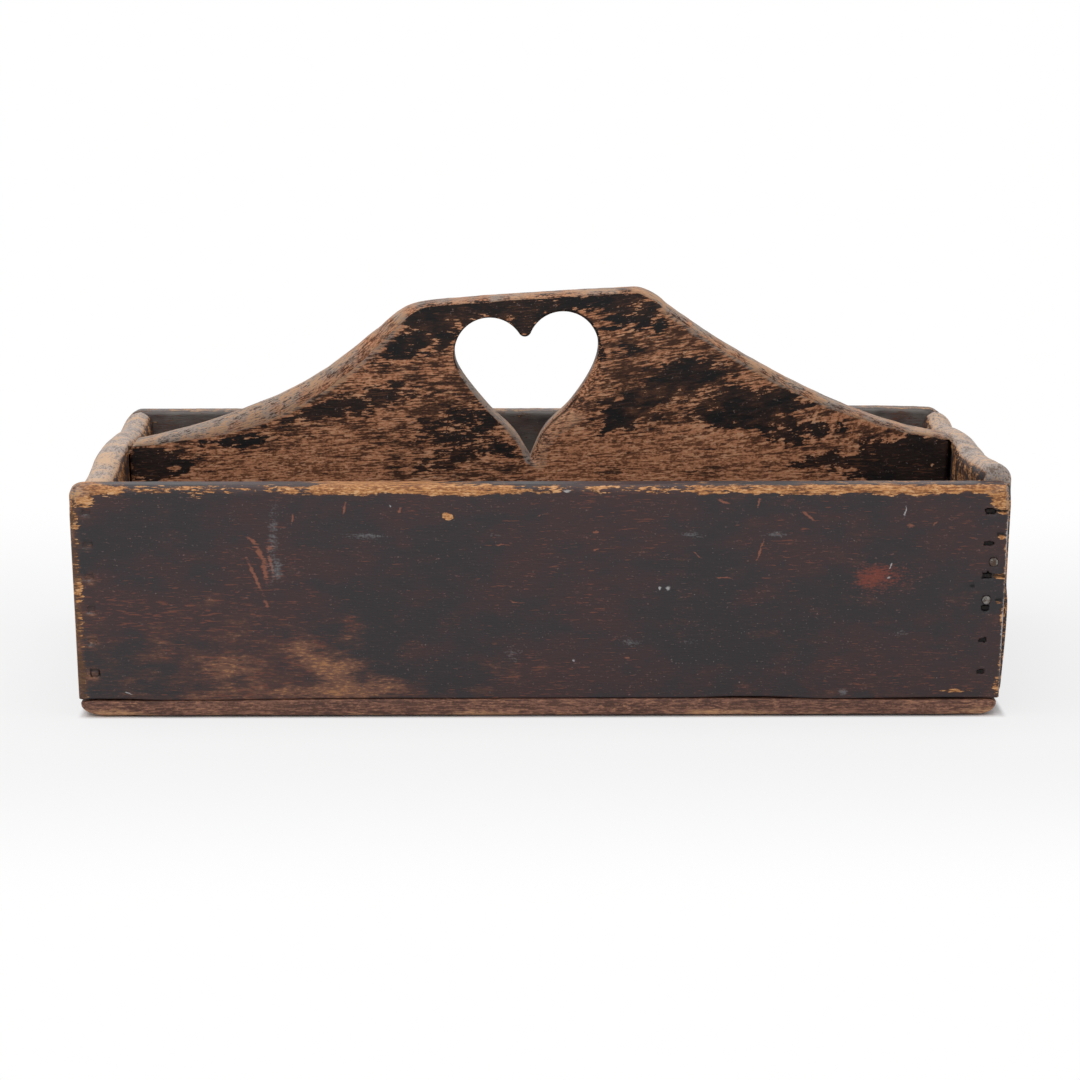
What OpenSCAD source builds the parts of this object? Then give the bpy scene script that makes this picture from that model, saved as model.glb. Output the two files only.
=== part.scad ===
// Two-compartment wooden knife tray with a heart-pierced handle, nailed up from six boards.
// X runs along the tray, the front faces -Y, and the origin is the middle of the underside.

/* [Tray] */
// Outside length at the rim, left end to right end
tray_length = 384.8; // [320:0.1:460]
// Outside depth, front to back
tray_depth = 193; // [160:1:240]
// Height of the front and back rims above the table
rim_height = 96.3; // [85:0.1:115]
// Outward lean of the left end and of the ends of the long sides, in degrees
side_lean = 1.3; // [0:0.1:4]
// Outward lean of the right end, in degrees
right_lean = 1.8; // [0:0.1:4]
// How far the foot of the right end stands proud of the long sides
right_overhang = 1.8; // [0:0.1:3]

/* [Boards] */
// Thickness of the front and back boards
side_thickness = 11; // [9:0.5:15]
// Thickness of the end boards
end_thickness = 14; // [10:0.5:15]
// Thickness of the bottom board
bottom_thickness = 7; // [4:0.5:10]
// Thickness of the handle divider
divider_thickness = 13; // [10:0.5:18]
// Depth of the housing in each end that takes the divider
housing_depth = 3; // [1:0.5:4]
// Gap left where one board fits another
board_gap = 0.1; // [0.05:0.05:0.4]

/* [Worn edges] */
// Rounding along the rims of the front and back boards
rim_round = 3.5; // [1:0.5:5]
// Rounding of the top corners of the front and back boards
corner_round = 5; // [1:0.5:8]
// Rounding along the underside of the bottom board
bottom_round = 1.5; // [0.5:0.5:3.5]
// Width of the worn shoulder along the tops of the ends
end_crest_width = 6; // [2:0.5:6.5]
// Height of the worn shoulder along the tops of the ends
end_crest_height = 6.5; // [1:0.5:8]
// Width of the worn shoulder along the top of the handle
handle_edge_width = 3; // [1:0.5:5]
// Height of the worn shoulder along the top of the handle
handle_edge_height = 2.5; // [1:0.5:5]
// Width of the worn shoulder at the foot of each wing
wing_edge_width = 5.5; // [1:0.5:6]
// Height of the worn shoulder at the foot of each wing
wing_edge_height = 7; // [1:0.5:8]

/* [Left end] */
// Rise of the left end above the rim at its front corner
left_front_rise = -3.5; // [-8:0.1:10]
// Rise at its front scoop
left_front_scoop_rise = -2.2; // [-8:0.1:10]
// Rise at its middle
left_crest_rise = 1.1; // [-5:0.1:10]
// Rise at its back scoop
left_back_scoop_rise = -2; // [-8:0.1:10]
// Rise at its back corner
left_back_rise = -2; // [-8:0.1:10]

/* [Right end] */
// Rise of the right end above the rim at its front corner
right_front_rise = 6; // [-8:0.1:10]
// Rise at its front scoop
right_front_scoop_rise = 3.6; // [-8:0.1:10]
// Rise at its middle
right_crest_rise = 1.2; // [-5:0.1:10]
// Rise at its back scoop
right_back_scoop_rise = 0.5; // [-8:0.1:10]
// Rise at its back corner
right_back_rise = -2.5; // [-8:0.1:10]

/* [Handle] */
// Rise of the divider above the rim where it meets the left end
left_wing_rise = 1.3; // [-5:0.1:10]
// Rise of the divider above the rim where it meets the right end
right_wing_rise = 3.9; // [-5:0.1:10]
// Distance of the left shoulder from the middle
left_shoulder_x = 55.8; // [45:0.1:75]
// Rise of the left shoulder above the rim
left_shoulder_rise = 61.2; // [52:0.1:85]
// Distance of the right shoulder from the middle
right_shoulder_x = 47.2; // [42:0.1:75]
// Rise of the right shoulder above the rim
right_shoulder_rise = 68.4; // [60:0.1:85]
// Rounding of the left shoulder, measured along each edge
left_shoulder_round = 8; // [3:0.5:15]
// Rounding of the right shoulder, measured along each edge
right_shoulder_round = 5; // [3:0.5:15]
// Slope of the left wing at its foot
left_foot_slope = 0.2; // [0:0.01:0.4]
// Slope of the left wing at its shoulder
left_shoulder_slope = 0.85; // [0.5:0.01:1.2]
// Slope of the right wing at its foot
right_foot_slope = 0.12; // [0:0.01:0.4]
// Slope of the right wing at its shoulder
right_shoulder_slope = 0.8; // [0.5:0.01:1.2]
// Length over which the foot of a wing stays low
wing_foot_reach = 45; // [20:1:60]
// Length over which a wing climbs straight to its shoulder
wing_shoulder_reach = 45; // [15:1:55]

/* [Heart] */
// Place of the middle of the heart along the tray
heart_x = -6.1; // [-15:0.1:10]
// Rise of the centres of its two lobes above the rim
heart_rise = 42.1; // [30:0.1:46]
// Turn of the heart, in degrees
heart_tilt = 4.9; // [-10:0.1:10]
// Radius of each lobe
lobe_radius = 15.2; // [11:0.1:17]
// Gap from each lobe to the middle of the heart
lobe_gap = 0.7; // [0:0.1:1.2]
// Radius of the tongue of wood between the lobes
cleft_radius = 2.8; // [1.5:0.1:4]
// Depth of the point below the lobe centres
tip_depth = 47.5; // [30:0.5:55]
// Sideways shift of the point
tip_shift = -2.4; // [-6:0.1:6]
// Fullness of the left flank
left_flank_fullness = 10; // [4:0.5:20]
// Fullness of the right flank
right_flank_fullness = 16; // [4:0.5:20]
// Steep run into the point
tip_run = 14; // [6:0.5:20]
// Rounding of the edge of the heart
heart_edge_round = 2.5; // [0.5:0.5:4]
// Wear on the front of the left flank beyond that rounding
left_flank_wear = 3.5; // [0:0.5:10]
// Wear on the front of the right flank beyond that rounding
right_flank_wear = 8; // [0:0.5:10]

/* [Cut nails] */
// Width of a nail's head
nail_head_width = 3.6; // [2.8:0.1:5]
// Height of a nail's head
nail_head_height = 1; // [0.5:0.1:2]
// Thickness of a nail
nail_thickness = 1.4; // [1:0.1:2]
// Width of the shank under the head
nail_shank_width = 2.4; // [1.6:0.1:2.8]
// Width of the blunt tip
nail_tip_width = 1.1; // [0.6:0.1:1.5]
// Length of a nail in a corner or into the end of the divider
long_nail_length = 30; // [22:1:38]
// Length of a nail through the bottom
short_nail_length = 19; // [14:1:21]
// Depth of a nail's head below the face that it is driven into
nail_set = 0.8; // [0.2:0.1:1.5]
// Clearance round a nail in its hole
nail_clearance = 0.05; // [0.02:0.01:0.1]
// Nails in each corner
corner_nail_count = 6; // [4:1:6]
// Distance from the rim to the first corner nail, and from the foot of the board to the last
corner_nail_inset = 11; // [9:0.5:14]
// Distance of the right corner nails from the middle of the right end, towards the tray
right_nail_shift = 3; // [0:0.5:4]
// Nails through each end into the divider
divider_nail_count = 3; // [2:1:4]
// Distance from the rim to the first of these, and from the foot of the board to the last
divider_nail_inset = 21; // [18:0.5:30]
// Nails along each long side of the bottom
long_row_count = 6; // [3:1:8]
// Distance from the end of the bottom to the first nail of a long row
long_row_inset = 42; // [40:1:60]
// Nails along each end of the bottom, an even count that stays clear of the divider
end_row_count = 4; // [2:2:4]
// Gap between the tips of the corner nails and the first nail of an end row
end_row_gap = 10; // [6:1:20]
// Nails along the divider
divider_row_count = 4; // [2:1:6]

/* [Repair nails] */
// Diameter of a wire nail's head
wire_head_diameter = 3.4; // [2.5:0.1:4]
// Thickness of a wire nail's head
wire_head_height = 0.8; // [0.4:0.1:1.2]
// Diameter of a wire nail's shank
wire_shank_diameter = 1.8; // [1.2:0.1:2.2]
// Length of a wire nail
wire_nail_length = 28; // [20:1:36]

/* [Hidden] */

// Steps in a worn edge, along a wing, and along an end between two of its heights
edge_steps = 4;
wing_steps = 12;
end_steps = 7;
// Steps in a lobe of the heart, in a flank and in the cleft
lobe_steps = 12;
flank_steps = 8;
cleft_steps = 4;
// Angle on each lobe where its flank starts
flank_angle = -10;
// Direction in which the flanks leave the point
tip_slope = [0.46, 0.89];
// Least flat left between two worn edges, and least wood left in the heart's cleft
least_flat = 0.3;
// How far a cut runs past the wood that it goes through
overcut = 1;
// Places of the wire nails, counted down the corner in cut nails, and how far outside that row each one is
repair_places = [1.57, 2.75];
repair_shifts = [2.5, 0.5];
wire_fn = 48;
LEFT = -1;
RIGHT = 1;
FRONT = -1;
BACK = 1;

paint = "#463f3f";
worn_wood = "#8f633f";
iron = "#3a302b";
wire = "#6f6a66";

half_length = tray_length / 2;
half_depth = tray_depth / 2;
board_height = rim_height - bottom_thickness;
end_reach = half_depth - side_thickness - board_gap;
// The right end leans out further than the long sides are cut, so it stands more proud of them at the rim
right_proud = right_overhang + board_height * (tan(right_lean) - tan(side_lean));
side_left = -half_length;
side_right = half_length - right_proud;
foot_left = side_left + board_height * tan(side_lean);
foot_right = side_right - board_height * tan(side_lean);
left_rises = [left_front_rise, left_front_scoop_rise, left_crest_rise, left_back_scoop_rise, left_back_rise];
right_rises = [
  right_front_rise, right_front_scoop_rise, right_crest_rise, right_back_scoop_rise, right_back_rise
];
highest_end = rim_height + max(concat(left_rises, right_rises));

// Outer face, middle and inner face of an end, measured out from the middle of the tray at height z
function end_lean(side) = side == LEFT ? side_lean : right_lean;
function end_width(side) = end_thickness / cos(end_lean(side));
function end_outer(side, z) = half_length - (rim_height - z) * tan(end_lean(side));
function end_middle(side, z) = end_outer(side, z) - end_width(side) / 2;
function end_inner(side, z) = end_outer(side, z) - end_width(side);

// Points of a curve from a to d, pulled towards b and c
function bezier(a, b, c, d, steps) = [
  for (i = [0:steps])
    let (t = i / steps, s = 1 - t)
      s * s * s * a + 3 * s * s * t * b + 3 * s * t * t * c + t * t * t * d
];
function arc(centre, radius, from, to, steps) = [
  for (i = [0:steps])
    let (a = from + (to - from) * i / steps)
      centre + radius * [cos(a), sin(a)]
];
function without_last(points) = [for (i = [0:len(points) - 2]) points[i]];
function without_ends(points) = [for (i = [1:len(points) - 2]) points[i]];
// Evenly spaced values from a to b
function spread(a, b, count) = [for (i = [0:count - 1]) a + (b - a) * i / (count - 1)];

// Section of a board that stands on y = 0, its top worn to a quarter ellipse on each side
function worn_section(width, height, worn_width, worn_height) =
  let (half = width / 2, worn = min(worn_width, half - least_flat / 2))
  concat(
    [[-half, 0], [half, 0]],
    [for (p = arc([0, 0], 1, 0, 90, edge_steps))
      [half - worn * (1 - p[0]), height - worn_height * (1 - p[1])]],
    [for (p = arc([0, 0], 1, 90, 180, edge_steps))
      [worn * (1 + p[0]) - half, height - worn_height * (1 - p[1])]]
  );

// Solid through a row of sections of equally many points, each anticlockwise seen from the row's start
module loft(sections) {
  count = len(sections[0]);
  last = len(sections) - 1;
  sides = [
    for (i = [0:last - 1], j = [0:count - 1])
      let (k = (j + 1) % count, a = i * count, b = a + count)
        each [[a + j, b + k, b + j], [a + j, a + k, b + k]]
  ];
  start_cap = [for (j = [count - 1:-1:0]) j];
  end_cap = [for (j = [0:count - 1]) last * count + j];
  polyhedron([for (section = sections) each section], concat([start_cap, end_cap], sides));
}

// A cut nail driven down from z = 0, tapering in its width, or the hole that it leaves in the wood
module cut_nail(length, hole) {
  clearance = hole ? nail_clearance : 0;
  mouth = hole ? nail_set + overcut : 0;
  head = nail_head_width / 2 + clearance;
  shank = nail_shank_width / 2 + clearance;
  tip = nail_tip_width / 2 + clearance;
  neck_z = -nail_head_height - clearance;
  tip_z = -length - clearance;
  rotate([90, 0, 0])
    linear_extrude(nail_thickness + 2 * clearance, center = true)
      polygon([[-head, mouth], [-head, neck_z], [-shank, neck_z], [-tip, tip_z],
               [tip, tip_z], [shank, neck_z], [head, neck_z], [head, mouth]]);
}

// A round wire nail driven down from z = 0, its head flush, or its hole
module wire_nail(hole) {
  clearance = hole ? nail_clearance : 0;
  mouth = hole ? overcut : 0;
  neck_z = -wire_head_height - clearance;
  tip_z = -wire_nail_length - clearance;
  translate([0, 0, neck_z])
    cylinder(d = wire_head_diameter + 2 * clearance, h = mouth - neck_z, $fn = wire_fn);
  translate([0, 0, tip_z])
    cylinder(d = wire_shank_diameter + 2 * clearance, h = neck_z - tip_z, $fn = wire_fn);
}

// Heights of the nails in a corner, from the rim down
corner_top = rim_height - corner_nail_inset;
corner_spacing = (board_height - 2 * corner_nail_inset) / (corner_nail_count - 1);
function corner_z(place) = corner_top - place * corner_spacing;
function corner_x(side, z) = side * (end_middle(side, z) - (side == RIGHT ? right_nail_shift : 0));

// Nails through a long side into the end grain of an end
module corner_nails(side, face, hole = false) {
  for (i = [0:corner_nail_count - 1])
    translate([corner_x(side, corner_z(i)), face * (half_depth - nail_set), corner_z(i)])
      rotate([-90 * face, 0, 0])
        cut_nail(long_nail_length, hole);
}

module repair_nails(hole = false) {
  for (i = [0:len(repair_places) - 1])
    let (z = corner_z(repair_places[i]))
      translate([corner_x(RIGHT, z) + repair_shifts[i], -half_depth, z])
        rotate([90, 0, 0])
          wire_nail(hole);
}

// Nails through an end into the end grain of the divider
module divider_nails(side, hole = false) {
  for (z = spread(bottom_thickness + divider_nail_inset, rim_height - divider_nail_inset, divider_nail_count))
    translate([side * (end_outer(side, z) - nail_set), 0, z])
      rotate([0, 90 * side, 0])
        rotate([0, 0, 90])
          cut_nail(long_nail_length, hole);
}

module bottom_nail(x, y, hole) {
  translate([x, y, nail_set])
    rotate([180, 0, 0])
      cut_nail(short_nail_length, hole);
}

// Row of nails through the bottom along the tray, up into a board whose middle is at y
module long_row(y, count, hole = false) {
  for (x = spread(foot_left + long_row_inset, foot_right - long_row_inset, count))
    bottom_nail(x, y, hole);
}

// Row of nails through the bottom up into an end
module end_row(side, hole = false) {
  reach = half_depth - nail_set - long_nail_length - end_row_gap;
  for (y = spread(-reach, reach, end_row_count))
    bottom_nail(side * end_middle(side, bottom_thickness), y, hole);
}

side_middle = half_depth - side_thickness / 2;

// Outline of a long side seen from the front, with worn top corners
module side_outline() {
  corner_height = rim_height - corner_round;
  polygon(concat(
    [[foot_left, bottom_thickness], [foot_right, bottom_thickness]],
    arc([side_right - corner_round, corner_height], corner_round, 0, 90, edge_steps),
    arc([side_left + corner_round, corner_height], corner_round, 90, 180, edge_steps)
  ));
}

// A long side with its holes for corner nails and bottom nails
module side_board(face) {
  difference() {
    translate([0, face * side_middle, 0])
      intersection() {
        rotate([90, 0, 0])
          linear_extrude(side_thickness, center = true)
            side_outline();
        translate([0, 0, bottom_thickness])
          rotate([90, 0, 90])
            linear_extrude(tray_length, center = true)
              polygon(worn_section(side_thickness, board_height, rim_round, rim_round));
      }
    corner_nails(LEFT, face, hole = true);
    corner_nails(RIGHT, face, hole = true);
    long_row(face * side_middle, long_row_count, hole = true);
  }
}

// Top line of an end from front to back: five heights joined by cosine curves
function end_top(rises) = [
  for (i = [0:len(rises) - 2], j = [(i == 0 ? 0 : 1):end_steps])
    let (t = j / end_steps, swing = (1 - cos(180 * t)) / 2, half_count = (len(rises) - 1) / 2)
      [end_reach * ((i + t) / half_count - 1), rim_height + rises[i] + (rises[i + 1] - rises[i]) * swing]
];

// Slot in the inner face of an end for the divider
module housing(side) {
  foot = bottom_thickness - overcut;
  top = highest_end + overcut;
  corners = [[-overcut, foot], [housing_depth, foot], [housing_depth, top], [-overcut, top]];
  rotate([90, 0, 0])
    linear_extrude(divider_thickness + 2 * board_gap, center = true)
      polygon([for (c = corners) [side * (end_inner(side, c[1]) + c[0]), c[1]]]);
}

// An end, lofted from front to back and leaning outwards, with its housing and nail holes
module end_board(side, rises) {
  sections = [
    for (p = end_top(rises))
      [for (q = worn_section(end_width(side), p[1] - bottom_thickness, end_crest_width, end_crest_height))
        let (z = q[1] + bottom_thickness)
          [side * end_middle(side, z) + q[0], p[0], z]]
  ];
  difference() {
    loft(sections);
    housing(side);
    corner_nails(side, FRONT, hole = true);
    corner_nails(side, BACK, hole = true);
    divider_nails(side, hole = true);
    end_row(side, hole = true);
  }
}

// Curve that cuts a corner between two points on its edges
function cut_corner(before, corner, after) =
  bezier(before, before + (corner - before) * 2 / 3, after + (corner - after) * 2 / 3, after, edge_steps);

// Top line of the divider from right to left: wing, shoulder, handle, shoulder, wing
left_wing_z = rim_height + left_wing_rise;
right_wing_z = rim_height + right_wing_rise;
left_foot = [-end_inner(LEFT, left_wing_z), left_wing_z];
right_foot = [end_inner(RIGHT, right_wing_z), right_wing_z];
left_corner = [-left_shoulder_x, rim_height + left_shoulder_rise];
right_corner = [right_shoulder_x, rim_height + right_shoulder_rise];
along_handle = (right_corner - left_corner) / norm(right_corner - left_corner);
up_left_wing = [1, left_shoulder_slope] / norm([1, left_shoulder_slope]);
up_right_wing = [-1, right_shoulder_slope] / norm([1, right_shoulder_slope]);
left_wing_end = left_corner - left_shoulder_round * up_left_wing;
right_wing_end = right_corner - right_shoulder_round * up_right_wing;
divider_top = concat(
  without_last(bezier(
    right_foot, right_foot + wing_foot_reach * [-1, right_foot_slope],
    right_wing_end - wing_shoulder_reach * up_right_wing, right_wing_end, wing_steps)),
  cut_corner(right_wing_end, right_corner, right_corner - right_shoulder_round * along_handle),
  without_last(cut_corner(left_corner + left_shoulder_round * along_handle, left_corner, left_wing_end)),
  bezier(
    left_wing_end, left_wing_end - wing_shoulder_reach * up_left_wing,
    left_foot + wing_foot_reach * [1, left_foot_slope], left_foot, wing_steps)
);

// Outline of the divider from its lower left corner round to the left wing. Each point has its place,
// how far its edge is worn in towards the board, and how far it is worn back from the face.
divider_fit = housing_depth - board_gap;
function divider_end(side, z) = side * (end_inner(side, z) + divider_fit);
function sharp_point(side, z, rise) = [[divider_end(side, z), z], [-side * least_flat, rise], least_flat];
function worn_end(side, z) =
  [[divider_end(side, z), z], [-side * least_flat, -wing_edge_height], edge_width(z)];
// The worn shoulder is broad at the foot of a wing and narrows up to the handle
handle_from = min(left_shoulder_rise, right_shoulder_rise);
function wing_share(z) = 1 - max(0, min(1, (z - rim_height) / handle_from));
widest_edge = (divider_thickness - least_flat) / 2;
function edge_height(z) = handle_edge_height + (wing_edge_height - handle_edge_height) * wing_share(z);
function edge_width(z) =
  min(widest_edge, handle_edge_width + (wing_edge_width - handle_edge_width) * wing_share(z));
divider_outline = concat(
  [sharp_point(LEFT, bottom_thickness, least_flat), sharp_point(RIGHT, bottom_thickness, least_flat)],
  [sharp_point(RIGHT, right_wing_z - 2 * wing_edge_height, 0), worn_end(RIGHT, right_wing_z)],
  [for (p = divider_top) [p, [0, -edge_height(p[1])], edge_width(p[1])]],
  [worn_end(LEFT, left_wing_z), sharp_point(LEFT, left_wing_z - 2 * wing_edge_height, 0)]
);

// Outline of the heart about the middle of its lobes: point, right flank and lobe, cleft, left lobe and flank
lobe_offset = lobe_radius + lobe_gap;
tip = [tip_shift, -tip_depth];
// Centre of the tongue of wood in the cleft, which touches both lobes, and where it touches the right one
tongue = [0, sqrt(pow(lobe_radius + cleft_radius, 2) - pow(lobe_offset, 2))];
touch = 180 - atan(tongue[1] / lobe_offset);
right_side = [lobe_offset, 0] + lobe_radius * [cos(flank_angle), sin(flank_angle)];
right_down = [sin(flank_angle), -cos(flank_angle)];
function mirrored(p) = [-p[0], p[1]];
heart_outline = concat(
  without_last(bezier(
    tip, tip + tip_run * tip_slope, right_side + right_flank_fullness * right_down, right_side, flank_steps)),
  arc([lobe_offset, 0], lobe_radius, flank_angle, touch, lobe_steps),
  without_ends(arc(tongue, cleft_radius, touch - 180, -touch, cleft_steps)),
  arc([-lobe_offset, 0], lobe_radius, 180 - touch, 180 - flank_angle, lobe_steps),
  without_ends(bezier(
    mirrored(right_side), mirrored(right_side + left_flank_fullness * right_down),
    tip + tip_run * mirrored(tip_slope), tip, flank_steps))
);
heart_place = [heart_x, rim_height + heart_rise];
function placed(p) = heart_place + [
  p[0] * cos(heart_tilt) - p[1] * sin(heart_tilt),
  p[0] * sin(heart_tilt) + p[1] * cos(heart_tilt)
];

// Direction out of a closed outline at each of its points, square to the line between its neighbours
function outwards(outline) =
  let (n = len(outline))
  [
    for (i = [0:n - 1])
      let (run = outline[(i + 1) % n] - outline[(i + n - 1) % n])
        [run[1], -run[0]] / norm(run)
  ];
heart_out = outwards(heart_outline);
// Wear on the front of the heart: it starts below the lobes, is broadest half way down and ends at the point
function flank_wear(p) =
  p[1] > 0 ? 0 : (p[0] < tip_shift ? left_flank_wear : right_flank_wear) * sin(-180 * p[1] / tip_depth);
// How deep the wear goes for its width
wear_depth = 0.25;

// The worn quarter round as shares of its width and height, from the face to the edge, then to the other face
worn_front = [for (p = arc([0, 0], 1, 0, 90, edge_steps)) [-1, 1 - p[0], 1 - p[1]]];
worn_back = [for (i = [edge_steps:-1:0]) [1, worn_front[i][1], worn_front[i][2]]];
worn_rings = concat(worn_front, worn_back);

// The divider as one skin: rings round its outline, rings round the heart, and two faces zipped between them
module divider_blank() {
  half = divider_thickness / 2;
  rounding = min(heart_edge_round, cleft_radius - least_flat);
  outer = [for (w = worn_rings) [for (p = divider_outline)
    let (q = p[0] + p[1] * w[2]) [q[0], w[0] * (half - p[2] * w[1]), q[1]]]];
  inner = [for (w = worn_rings) [for (i = [0:len(heart_outline) - 1])
    let (
      wear = w[0] < 0 ? flank_wear(heart_outline[i]) : 0,
      q = placed(heart_outline[i] + (rounding + wear) * w[2] * heart_out[i])
    ) [q[0], w[0] * (half - (rounding + wear_depth * wear) * w[1]), q[1]]]];
  n = len(divider_outline);
  m = len(heart_outline);
  rings = len(worn_rings);
  // Turn of a point about the middle of the heart, from the lower left corner of the board
  middle = placed((tip + tongue) / 2);
  function turn(p) = atan2(p[1] - middle[1], p[0] - middle[0]);
  start = turn(divider_outline[0][0]);
  function turned(p) = let (a = turn(p) - start) a < 0 ? a + 360 : a;
  first_turn = turned(placed(heart_outline[0]));
  inner_turns = [for (p = heart_outline) let (a = turned(placed(p))) a < first_turn ? a + 360 : a];
  outer_turns = [for (p = divider_outline) turned(p[0])];
  function inner_turn(i) = i < m ? inner_turns[i] : first_turn + 360;
  function outer_turn(j) = j < n ? outer_turns[j] : 360;
  function inner_next(i, j) = i < m && (j == n || inner_turn(i + 1) < outer_turn(j + 1));
  // Triangles of a face, each with two points on one outline and one on the other
  face = [
    for (i = 0, j = 0; i + j < n + m; k = inner_next(i, j) ? 1 : 0, i = i + k, j = j + 1 - k)
      inner_next(i, j)
        ? [n * rings + (i + 1) % m, j % n, n * rings + i % m]
        : [(j + 1) % n, j % n, n * rings + i % m]
  ];
  last = rings - 1;
  function at_back(v) = v < n ? v + n * last : v + m * last;
  outer_skin = [for (r = [0:last - 1], j = [0:n - 1]) let (a = r * n, b = a + n, k = (j + 1) % n)
    each [[a + j, b + k, b + j], [a + j, a + k, b + k]]];
  inner_skin = [for (r = [0:last - 1], i = [0:m - 1]) let (a = n * rings + r * m, b = a + m, k = (i + 1) % m)
    each [[a + i, b + i, b + k], [a + i, b + k, a + k]]];
  polyhedron(
    concat([for (ring = outer) each ring], [for (ring = inner) each ring]),
    concat(outer_skin, inner_skin, face, [for (t = face) [at_back(t[2]), at_back(t[1]), at_back(t[0])]])
  );
}

// Section of the bottom board, its underside worn round at both edges
module bottom_section(width) {
  translate([0, bottom_thickness])
    mirror([0, 1])
      polygon(worn_section(width, bottom_thickness, bottom_round, bottom_round));
}

module front_board() {
  color(paint)
    difference() {
      side_board(FRONT);
      repair_nails(hole = true);
    }
}

module back_board() {
  color(paint)
    side_board(BACK);
}

module left_end_board() {
  color(paint)
    end_board(LEFT, left_rises);
}

module right_end_board() {
  color(paint)
    difference() {
      end_board(RIGHT, right_rises);
      repair_nails(hole = true);
    }
}

module handle_divider() {
  color(worn_wood)
    difference() {
      divider_blank();
      divider_nails(LEFT, hole = true);
      divider_nails(RIGHT, hole = true);
      long_row(0, divider_row_count, hole = true);
    }
}

module bottom_board() {
  length = foot_right - foot_left;
  middle = (foot_left + foot_right) / 2;
  color(worn_wood)
    difference() {
      translate([middle, 0, 0])
        intersection() {
          rotate([90, 0, 90])
            linear_extrude(length, center = true)
              bottom_section(tray_depth);
          rotate([90, 0, 0])
            linear_extrude(tray_depth, center = true)
              bottom_section(length);
        }
      long_row(-side_middle, long_row_count, hole = true);
      long_row(side_middle, long_row_count, hole = true);
      long_row(0, divider_row_count, hole = true);
      end_row(LEFT, hole = true);
      end_row(RIGHT, hole = true);
    }
}

module front_left_nails() {
  color(iron)
    corner_nails(LEFT, FRONT);
}

module front_right_nails() {
  color(iron)
    corner_nails(RIGHT, FRONT);
}

module front_right_repair_nails() {
  color(wire)
    repair_nails();
}

module back_left_nails() {
  color(iron)
    corner_nails(LEFT, BACK);
}

module back_right_nails() {
  color(iron)
    corner_nails(RIGHT, BACK);
}

module left_end_divider_nails() {
  color(iron)
    divider_nails(LEFT);
}

module right_end_divider_nails() {
  color(iron)
    divider_nails(RIGHT);
}

module bottom_front_nails() {
  color(iron)
    long_row(-side_middle, long_row_count);
}

module bottom_back_nails() {
  color(iron)
    long_row(side_middle, long_row_count);
}

module bottom_left_nails() {
  color(iron)
    end_row(LEFT);
}

module bottom_right_nails() {
  color(iron)
    end_row(RIGHT);
}

module bottom_divider_nails() {
  color(iron)
    long_row(0, divider_row_count);
}

front_board();
back_board();
left_end_board();
right_end_board();
handle_divider();
bottom_board();
front_left_nails();
front_right_nails();
front_right_repair_nails();
back_left_nails();
back_right_nails();
left_end_divider_nails();
right_end_divider_nails();
bottom_front_nails();
bottom_back_nails();
bottom_left_nails();
bottom_right_nails();
bottom_divider_nails();
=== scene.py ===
# Antique painted knife tray: six worn boards, their nails, a white studio floor and the camera.
import math

import bpy
import numpy as np
from mathutils import Matrix


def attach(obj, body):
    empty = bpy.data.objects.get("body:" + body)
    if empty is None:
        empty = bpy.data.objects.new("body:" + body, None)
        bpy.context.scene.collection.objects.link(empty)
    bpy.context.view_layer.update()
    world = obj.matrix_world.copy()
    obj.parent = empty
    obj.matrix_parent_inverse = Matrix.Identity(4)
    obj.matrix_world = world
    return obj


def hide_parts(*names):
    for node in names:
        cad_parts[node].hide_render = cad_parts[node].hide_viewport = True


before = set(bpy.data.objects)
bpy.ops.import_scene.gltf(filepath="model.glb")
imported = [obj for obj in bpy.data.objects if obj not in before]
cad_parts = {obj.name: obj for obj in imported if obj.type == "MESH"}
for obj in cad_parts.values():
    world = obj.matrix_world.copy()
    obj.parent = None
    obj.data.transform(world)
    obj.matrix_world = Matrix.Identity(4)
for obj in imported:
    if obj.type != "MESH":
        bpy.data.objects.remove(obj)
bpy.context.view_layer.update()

scene = bpy.context.scene

# Sizes of the tray in millimetres, the same as the solids have
MM = 0.001
LEFT, RIGHT, FRONT, BACK = -1, 1, -1, 1
HALF_LENGTH, HALF_DEPTH, RIM, FOOT = 192.4, 96.5, 96.3, 7.0
SIDE_THICK, END_THICK, DIVIDER_THICK, HOUSING, BOARD_GAP = 11.0, 14.0, 13.0, 3.0, 0.1
LEAN = {LEFT: math.tan(math.radians(1.3)), RIGHT: math.tan(math.radians(1.8))}
RIGHT_OVERHANG, RIGHT_NAIL_SHIFT = 1.8, 3.0
BOARD = RIM - FOOT
SIDE_LEFT = -HALF_LENGTH
SIDE_RIGHT = HALF_LENGTH - RIGHT_OVERHANG - BOARD * (LEAN[RIGHT] - LEAN[LEFT])
FOOT_LEFT, FOOT_RIGHT = SIDE_LEFT + BOARD * LEAN[LEFT], SIDE_RIGHT - BOARD * LEAN[LEFT]
END_REACH = HALF_DEPTH - SIDE_THICK - BOARD_GAP
# Nails: how far each row stays from the ends of its board, how deep a head is set, and a long nail's length
CORNER_INSET, DIVIDER_INSET, LONG_ROW_INSET, END_ROW_GAP = 11.0, 21.0, 42.0, 10.0
NAIL_SET, LONG_NAIL = 0.8, 30.0
CORNER_NAILS = np.linspace(RIM - CORNER_INSET, FOOT + CORNER_INSET, 6)
DIVIDER_NAILS = np.linspace(FOOT + DIVIDER_INSET, RIM - DIVIDER_INSET, 3)
# The pocket over a cut nail's head: half length, width of its soft rim, and depth
POCKET_HALF, POCKET_RIM, POCKET_DEPTH = 1.75, 0.35, 1.5
# Wire nails: place down the row of corner nails, and distance outside that row
WIRE_NAILS = ((1.57, 2.5), (2.75, 0.5))


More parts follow.
